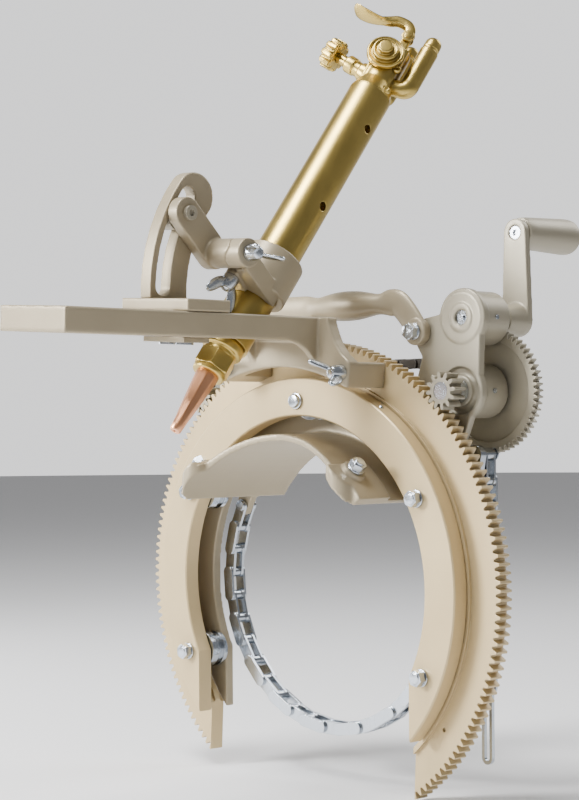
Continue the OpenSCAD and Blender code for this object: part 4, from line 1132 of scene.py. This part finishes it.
    def valve(self) -> None:
        """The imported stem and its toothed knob.

        The knob's reach is its radius less a flute depth wherever the cosine of
        the angle times the number of teeth is low, softened by a steep S curve.
        """
        at, end = self.stem_place(), self.stem_len - 0.2
        stem = turned(
            [[0, 4.0], [8.6, 4.0], [7.6, 10.5], [6.2, 11.5], [6.2, 16.0], [7.2, 17.0],
             [7.2, 24.0], [6.2, 25.0], [4.6, 26.0], [4.6, end], [0, end]],
            [0, 1.0, 1.0, 0.6, 0.6, 0.6, 1.2, 0.6, 0.4, 0.2, 0], at, 48, 4,
        )
        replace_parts(add_piece("packed_stem", stem, "torch", BRASS), "valve_stem")
        t = self.knob_h
        h = np.array(
            [0.0, 0.0, 0.5, 1.4, t - 1.4, t - 0.4, t, t + 0.8, t + 0.8, t + 0.4, t + 0.4]
        )
        r_share = np.array([0.0, 0.82, 0.94, 1.0, 1.0, 0.95, 0.84, 0.62, 0.46, 0.40, 0.0])
        r = r_share * self.knob_r
        a = around(240)
        wave = np.cos(self.teeth * a) + self.flute_level
        low = 1 / (1 + np.exp(self.flute_slope * wave))
        cutting = np.where(r > 0.8 * self.knob_r, 1.0, 0.0)[:, None]
        reach = r[:, None] - cutting * self.flute * low[None]
        knob = loft(at.shifted((0, 0, self.stem_len)).carry(turned_rows(reach, h, a)))
        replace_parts(add_piece("toothed_knob", knob, "knob", BRASS), "valve_knob")

    def cheeks(self) -> Shell:
        """The lever's two cheeks, flat ovals on a curve, with their round eyes."""
        count = 40
        line = spline(
            [(3.0, 64.0), (2.6, 70.0), (-1.6, 74.6), (-10.0, 75.6), (-16.0, 72.8),
             (-22.0, 70.6)],
            count,
        )
        u = np.linspace(0, 1, count)
        tall = np.interp(u, [0, 0.2, 0.5, 0.8, 1.0], [4.6, 4.2, 3.2, 2.9, 2.0])
        x, z = self.pivot
        shell = Shell.none()
        for side in (1.0, -1.0):
            path = np.column_stack([line[:, 0], np.full(count, side * self.cheek_y), line[:, 1]])
            eye = facing((x, side * self.eye_y, z), (0, side, 0), RIGHT)
            shell = (
                shell
                + tube(ON_HEAD.carry(path), tall, 28, 1.0 / tall, ON_HEAD.direction(BACK))
                + slab(circle(self.eye_r, count), ON_HEAD.inside(eye), self.eye_t, 0.5)
            )
        return shell

    def spoon(self) -> Shell:
        """The lever's dished thumb spoon, whose thickness is a share of its width."""
        count = 60
        dish = spline(
            [(-15.5, 73.2), (-20.0, 70.9), (-27.0, 69.6), (-36.0, 69.5), (-43.0, 70.4),
             (-48.0, 72.0)],
            count,
        )
        path = np.column_stack([dish[:, 0], np.zeros(count), dish[:, 1]])
        u = np.linspace(0, 1, count)
        width = np.interp(
            u,
            [0, 0.12, 0.35, 0.55, 0.75, 0.9, 0.97, 1.0],
            [4.1, 4.3, 6.4, 8.8, 9.4, 8.0, 5.0, 0.5],
        )
        thick = np.interp(u, [0, 0.4, 0.85, 1.0], [1.7, 1.5, 1.3, 0.4])
        return tube(ON_HEAD.carry(path), thick, 36, width / thick, ON_HEAD.direction(BACK))

    def lever(self) -> None:
        """The cutting lever: two arched cheeks and a dished thumb spoon in one.

        Each cheek is a flat oval carried along a smooth curve from the pivot
        over to the spoon.  The spoon's width grows from the cheeks' and closes
        round at its end.
        """
        x, z = self.pivot
        pin = turned(
            [[0, -5.2], [2.6, -5.2], [2.6, -4.1], [1.9, -4.1], [1.9, 4.1], [2.6, 4.1],
             [2.6, 5.2], [0, 5.2]],
            [0, 0.5, 0.2, 0.1, 0.1, 0.2, 0.5, 0],
            ON_HEAD.inside(facing((x, 0, z), FRONT, RIGHT)), 32, 3,
        )
        shell = self.cheeks() + self.spoon() + pin
        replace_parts(add_piece("thumb_lever", shell, "lever", BRASS), "cutting_lever")


@dataclass
class BevelSet:
    """The carriage, the bevel quadrant, the arm and the torch clamp."""

    castings: tuple[tuple[str, str, str, float, int], ...] = (
        ("quadrant_casting", "bevel_quadrant", "carriage", 0.7, 5),
        ("arm_casting", "bevel_arm", "arm", 0.7, 5),
        ("clamp_casting", "torch_collar", "arm", 0.7, 5),
        ("pad_casting", "carriage_pad", "carriage", 0.8, 4),
    )
    keep: float = 0.35
    clamp_screw: Triple = (37.05, -50.0, 124.0)
    clamp_shank: float = 43.4
    clamp_turn: float = 110.0
    swivel_screw: Triple = (9.5, -32.5, 115.95)
    swivel_shank: float = 10.0

    def build(self) -> None:
        """Softens the castings and makes their two wing screws."""
        for name, node, body, voxel, passes in self.castings:
            softened(name, node, body, CASTING, voxel, passes, self.keep)
        screw = WingScrew()
        clamp = ON_TORCH.inside(facing(self.clamp_screw, RIGHT, UP))
        shell = screw.shell(clamp.inside(turn_z(self.clamp_turn)), self.clamp_shank)
        piece = add_piece("clamp_wing_screw", shell, "collar_screw", ZINC)
        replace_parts(piece, "collar_wing_screw")
        under = ON_TORCH.inside(facing(self.swivel_screw, (0, 0, -1), BACK))
        shell = screw.shell(under, self.swivel_shank)
        piece = add_piece("swivel_wing_screw", shell, "boss_screw", ZINC)
        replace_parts(piece, "boss_wing_screw")


@dataclass
class RingSet:
    """The turning ring with its bracket and bar, and the fixed guide ring."""

    wing_circle: float = 174.2
    wing_angle: float = 20.5
    wing_turn: float = 35.0
    wing_shank: float = 40.0
    front: float = 22.9
    seat_gap: float = 0.05
    roller_circle: float = 140.0
    roller_angles: tuple[float, ...] = (90.0, 29.0, -26.0, 151.0, 206.0)
    back_face: float = 38.5
    stem_r: float = 4.45

    def build(self) -> None:
        """Softens the bar casting and makes its screws and the roller bolts."""
        softened("bar_casting", "torch_bracket", "ring", CASTING, voxel=1.0, passes=4, keep=0.3)
        c, s = cos_sin(self.wing_angle)
        sides = (
            (1, "bracket_screw_r", "bracket_screw_right"),
            (-1, "bracket_screw_l", "bracket_screw_left"),
        )
        for side, body, node in sides:
            x, z = side * (self.wing_circle * s), self.wing_circle * c
            at = ON_RING.inside(facing((x, -self.front - self.seat_gap, z), FRONT, RIGHT))
            shell = WingScrew().shell(at.inside(turn_z(-side * self.wing_turn)), self.wing_shank)
            piece = add_piece(f"bar_{node[8:]}", shell, body, ZINC)
            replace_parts(piece, node)
        self.roller_bolts()

    def roller_bolts(self) -> None:
        """Roller bolts: a round-headed one on top and hexagon ones below."""
        bolt, stem = HexBolt(), HexBolt(shank=self.stem_r)
        shell = Shell.none()
        for number, angle in enumerate(self.roller_angles):
            c, s = cos_sin(angle)
            x, z = self.roller_circle * c, self.roller_circle * s
            front = facing((x, 0.0, z), FRONT, RIGHT)
            back = facing((x, self.back_face, z), BACK, RIGHT)
            if number == 0:
                shell = shell + turned(
                    [[0, 0], [6.4, 0], [6.4, 1.7], [5.3, 1.8], [5.3, 4.4], [0, 4.8]],
                    [0, 0.3, 0.4, 0.1, 1.2, 0], front, 48, 4,
                )
            else:
                shell = shell + bolt.head_shell(front, angle + 12.0)
            shell = shell + bolt.nut_shell(back, 5.0, angle) + stem.stem_shell(back, -38.6, 0.2)
        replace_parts(add_piece("roller_bolt_set", shell, "frame", ZINC), "roller_bolts")


@dataclass
class Gearbox:
    """Housings, crank and carry handle."""

    castings: tuple[tuple[str, str, Finish, float], ...] = (
        ("right_housing_casting", "housing_right", GREY, 0.8),
        ("left_housing_casting", "housing_left", GREY, 0.9),
        ("saddle_casting", "saddle", CASTING, 1.1),
    )
    ear: tuple[float, float] = (93.9, 190.6)
    eye_r: float = 10.2
    eye_t: float = 8.0
    grip_z: float = 213.0
    plane: float = 34.5
    housing_face: float = 38.5
    housing_t: float = 6.5
    crank_y: float = 100.9
    crank_t: float = 5.4
    crank_gap: float = 0.4
    crank_eye: tuple[float, float] = (133.42, 266.11)
    pad_bolt_angle: float = 47.0
    pad_bolt_r: float = 122.0
    pad_bolt_y: float = -23.0

    def build(self) -> None:
        """Makes the handle, its bolts, the housings and the crank's grip."""
        for name, node, finish, voxel in self.castings:
            softened(name, node, "frame", finish, voxel, passes=4, keep=0.35)
        self.handle()
        self.handle_bolts()
        self.pad_bolts()
        self.grip()

    def handle(self) -> None:
        """The cast carry handle: flat bars that turn into a bulged grip.

        The centre line is a smooth curve from eye to eye.  The height and the
        depth of its oval section are read from the distance along X, and then
        averaged over a few neighbours so that each step becomes a soft shoulder.
        """
        ex, ez = self.ear
        end = [
            (ex + 1.0, ez - 1.5), (ex - 3.0, ez + 5.0), (ex - 10.0, ez + 14.0),
            (75.5, 212.2), (67.0, 213.6),
        ]
        middle = [(x, self.grip_z) for x in (57.0, 40.0, 23.0, 6.0, -11.0, -28.0, -46.0, -57.0)]
        count = 220
        line = spline(end + middle + [(-x, z) for x, z in end[::-1]], count)
        path = np.column_stack([line[:, 0], np.full(count, self.plane), line[:, 1]])
        x = line[:, 0]
        tall = np.interp(
            x,
            [-96, -64, -20, -14, -10, -2, 10, 23, 36, 48, 56, 60, 66, 96],
            [9.6, 10.2, 9.9, 8.6, 7.4, 8.9, 11.0, 11.7, 11.0, 8.9, 7.4, 8.6, 10.3, 9.8],
        )
        deep = np.interp(
            x,
            [-96, -20, -14, -10, -2, 10, 23, 36, 48, 56, 60, 66, 96],
            [4.0, 4.2, 5.4, 7.2, 8.9, 11.0, 11.7, 11.0, 8.9, 7.2, 5.4, 4.2, 4.0],
        )
        near = 4
        share = np.full(2 * near + 1, 1 / (2 * near + 1))
        tall, deep = (np.convolve(np.pad(v, near, "edge"), share, "valid") for v in (tall, deep))
        shell = tube(path, tall, 44, deep / tall, BACK)
        for side in (1, -1):
            eye = facing((side * ex, self.housing_face, ez), FRONT, RIGHT)
            shell = shell + slab(circle(self.eye_r), eye, self.eye_t, 1.4)
        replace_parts(add_piece("handle_casting", shell, "frame", CASTING, 50.0), "carry_handle")

    def handle_bolts(self) -> None:
        """The bolts that hold the handle's eyes, washers and nuts with them."""
        bolt = HexBolt()
        shell = Shell.none()
        x, z = self.ear
        near, far = self.housing_face - self.eye_t, self.housing_face + self.housing_t
        for side in (1, -1):
            front = facing((side * x, near, z), FRONT, RIGHT)
            back = facing((side * x, far, z), BACK, RIGHT)
            shell = shell + bolt.head_shell(front, 20.0, 0.0) + bolt.nut_shell(back, 5.0, 10.0)
            shell = shell + bolt.stem_shell(front, -13.0, 0.2)
        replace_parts(add_piece("handle_bolt_set", shell, "frame", ZINC), "handle_bolts")

    def pad_bolts(self) -> None:
        """The two bolts on the saddle's bosses."""
        bolt = HexBolt(corner=6.3, head=5.0, nut=5.0)
        shell = Shell.none()
        for angle in (self.pad_bolt_angle, 180.0 - self.pad_bolt_angle):
            c, s = cos_sin(angle)
            out = np.array([c, 0.0, s])
            at = facing(out * self.pad_bolt_r + np.array([0.0, self.pad_bolt_y, 0.0]), out, BACK)
            shell = shell + bolt.head_shell(at, 18.0, 1.6) + bolt.stem_shell(at, -7.0, 0.2)
        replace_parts(add_piece("saddle_bolt_set", shell, "frame", ZINC), "pad_bolts")

    def grip(self) -> None:
        """The crank, and its grip: a cone that ends in a dome."""
        softened("crank_casting", "crank_arm", "crank", GREY, voxel=0.6, passes=3, keep=0.4)
        x, z = self.crank_eye
        at = facing((x, self.crank_y + self.crank_t + self.crank_gap, z), BACK, RIGHT)
        shell = turned(
            [[0, 0], [11.5, 0], [12.2, 6.0], [14.0, 54.0], [13.2, 60.6], [7.0, 62.0], [0, 62.0]],
            [0, 1.2, 3.0, 8.0, 5.0, 5.0, 0], at, 96, 8,
        )
        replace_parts(add_piece("turned_grip", shell, "grip", GREY), "crank_grip")


# Stage


@dataclass
class Studio:
    """The floor, the lights and the camera."""

    camera_at: Triple = (1073.2, -1069.1, 124.6)
    azimuth: float = 45.31
    elevation: float = -0.61
    roll: float = -0.38
    lens: float = 88.8
    sensor: float = 36.0
    clips: tuple[float, float] = (0.05, 30.0)
    lights: tuple[tuple[Triple, float, float], ...] = (
        ((-900.0, -1500.0, 700.0), 560.0, 58.0),
        ((-120.0, -700.0, 1800.0), 700.0, 48.0),
        ((-1300.0, -200.0, 300.0), 500.0, 7.0),
        ((300.0, 1400.0, 1200.0), 900.0, 12.0),
    )
    aim: Triple = (0.0, 0.0, 60.0)
    backdrop: Triple = (-0.71, 0.70, 0.05)
    backdrop_edges: tuple[float, float] = (0.70, 0.93)
    sky_colour: Triple = (0.95, 0.95, 0.96)
    bright: float = 1.35
    dim: float = 0.22
    floor_r: float = 9.0
    floor_steps: int = 96
    floor_colour: Triple = (0.88, 0.88, 0.89)
    floor_rough: float = 0.8
    floor_gap: float = 0.001

    def camera(self) -> None:
        """The camera at the photograph's place."""
        a, e, w = (math.radians(v) for v in (self.azimuth, self.elevation, self.roll))
        back = Vector((math.sin(a) * math.cos(e), -math.cos(a) * math.cos(e), math.sin(e)))
        right = Vector((math.cos(a), math.sin(a), 0.0))
        up = right.cross(-back)
        r2 = math.cos(w) * right + math.sin(w) * up
        u2 = -math.sin(w) * right + math.cos(w) * up
        data = bpy.data.cameras.new("view")
        data.lens = self.lens
        data.sensor_width = self.sensor
        data.clip_start, data.clip_end = self.clips
        camera = bpy.data.objects.new("view", data)
        bpy.context.scene.collection.objects.link(camera)
        matrix = Matrix((r2, u2, back)).transposed().to_4x4()
        matrix.translation = Vector(self.camera_at) * MM
        camera.matrix_world = matrix
        bpy.context.scene.camera = camera

    def light(self) -> None:
        """Soft area lights, all turned to one aim, and a pale sky."""
        for number, (at, size, power) in enumerate(self.lights):
            data = bpy.data.lights.new(f"soft_{number}", "AREA")
            data.size = size * MM
            data.energy = power
            lamp = bpy.data.objects.new(f"soft_{number}", data)
            bpy.context.scene.collection.objects.link(lamp)
            lamp.location = Vector(at) * MM
            way = Vector(self.aim) * MM - lamp.location
            lamp.rotation_euler = way.to_track_quat("-Z", "Y").to_euler()
        bpy.context.scene.world = self.sky()

    def sky(self) -> bpy.types.World:
        """A pale sky, brighter over the backdrop than behind the camera.

        Its strength grows by an S curve of the dot product of the direction
        and the backdrop's direction.
        """
        world = bpy.data.worlds.new("sky")
        world.use_nodes = True
        tree = world.node_tree
        ground = tree.nodes["Background"]
        ground.inputs["Color"].default_value = (*self.sky_colour, 1.0)
        way = tree.nodes.new("ShaderNodeTexCoord").outputs["Generated"]
        dot = tree.nodes.new("ShaderNodeVectorMath")
        dot.operation = "DOT_PRODUCT"
        tree.links.new(way, dot.inputs[0])
        dot.inputs[1].default_value = self.backdrop
        ramp = tree.nodes.new("ShaderNodeMapRange")
        ramp.interpolation_type = "SMOOTHSTEP"
        ramp.inputs["From Min"].default_value = self.backdrop_edges[0]
        ramp.inputs["From Max"].default_value = self.backdrop_edges[1]
        ramp.inputs["To Min"].default_value = self.dim
        ramp.inputs["To Max"].default_value = self.bright
        tree.links.new(dot.outputs["Value"], ramp.inputs["Value"])
        tree.links.new(ramp.outputs["Result"], ground.inputs["Strength"])
        return world

    def floor(self, lowest: float) -> None:
        """A wide pale floor, just below the lowest point, in metres."""
        count = self.floor_steps
        mesh = bpy.data.meshes.new("floor")
        height = np.full(count, lowest - self.floor_gap)
        corners = np.column_stack([circle(self.floor_r, count), height])
        mesh.from_pydata(corners.tolist(), [], [list(range(count))])
        material = bpy.data.materials.new("floor")
        material.use_nodes = True
        shader = material.node_tree.nodes["Principled BSDF"]
        shader.inputs["Base Color"].default_value = (*self.floor_colour, 1.0)
        shader.inputs["Roughness"].default_value = self.floor_rough
        mesh.materials.append(material)
        floor = bpy.data.objects.new("floor", mesh)
        bpy.context.scene.collection.objects.link(floor)
        floor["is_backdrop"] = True


def dress_nodes(frame: dict) -> None:
    """Gives every CAD node the finish of its record's material slot."""
    slots = {s["node"]: s["material_slot"] for s in frame["record"]["subparts"]}
    for name, node in frame["nodes"].items():
        node.data.materials.clear()
        node.data.materials.append(FINISH_OF[slots[name]].material())


def main() -> None:
    """Builds the whole dressed machine."""
    logging.basicConfig(level=logging.INFO, format="%(message)s")
    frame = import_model()
    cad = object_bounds()
    studio = Studio()
    studio.camera()
    studio.light()
    studio.floor(cad[0].z)
    dress_nodes(frame)
    for assembly in (Torch(), BevelSet(), RingSet(), Gearbox()):
        assembly.build()


if __name__ == "__main__":
    main()
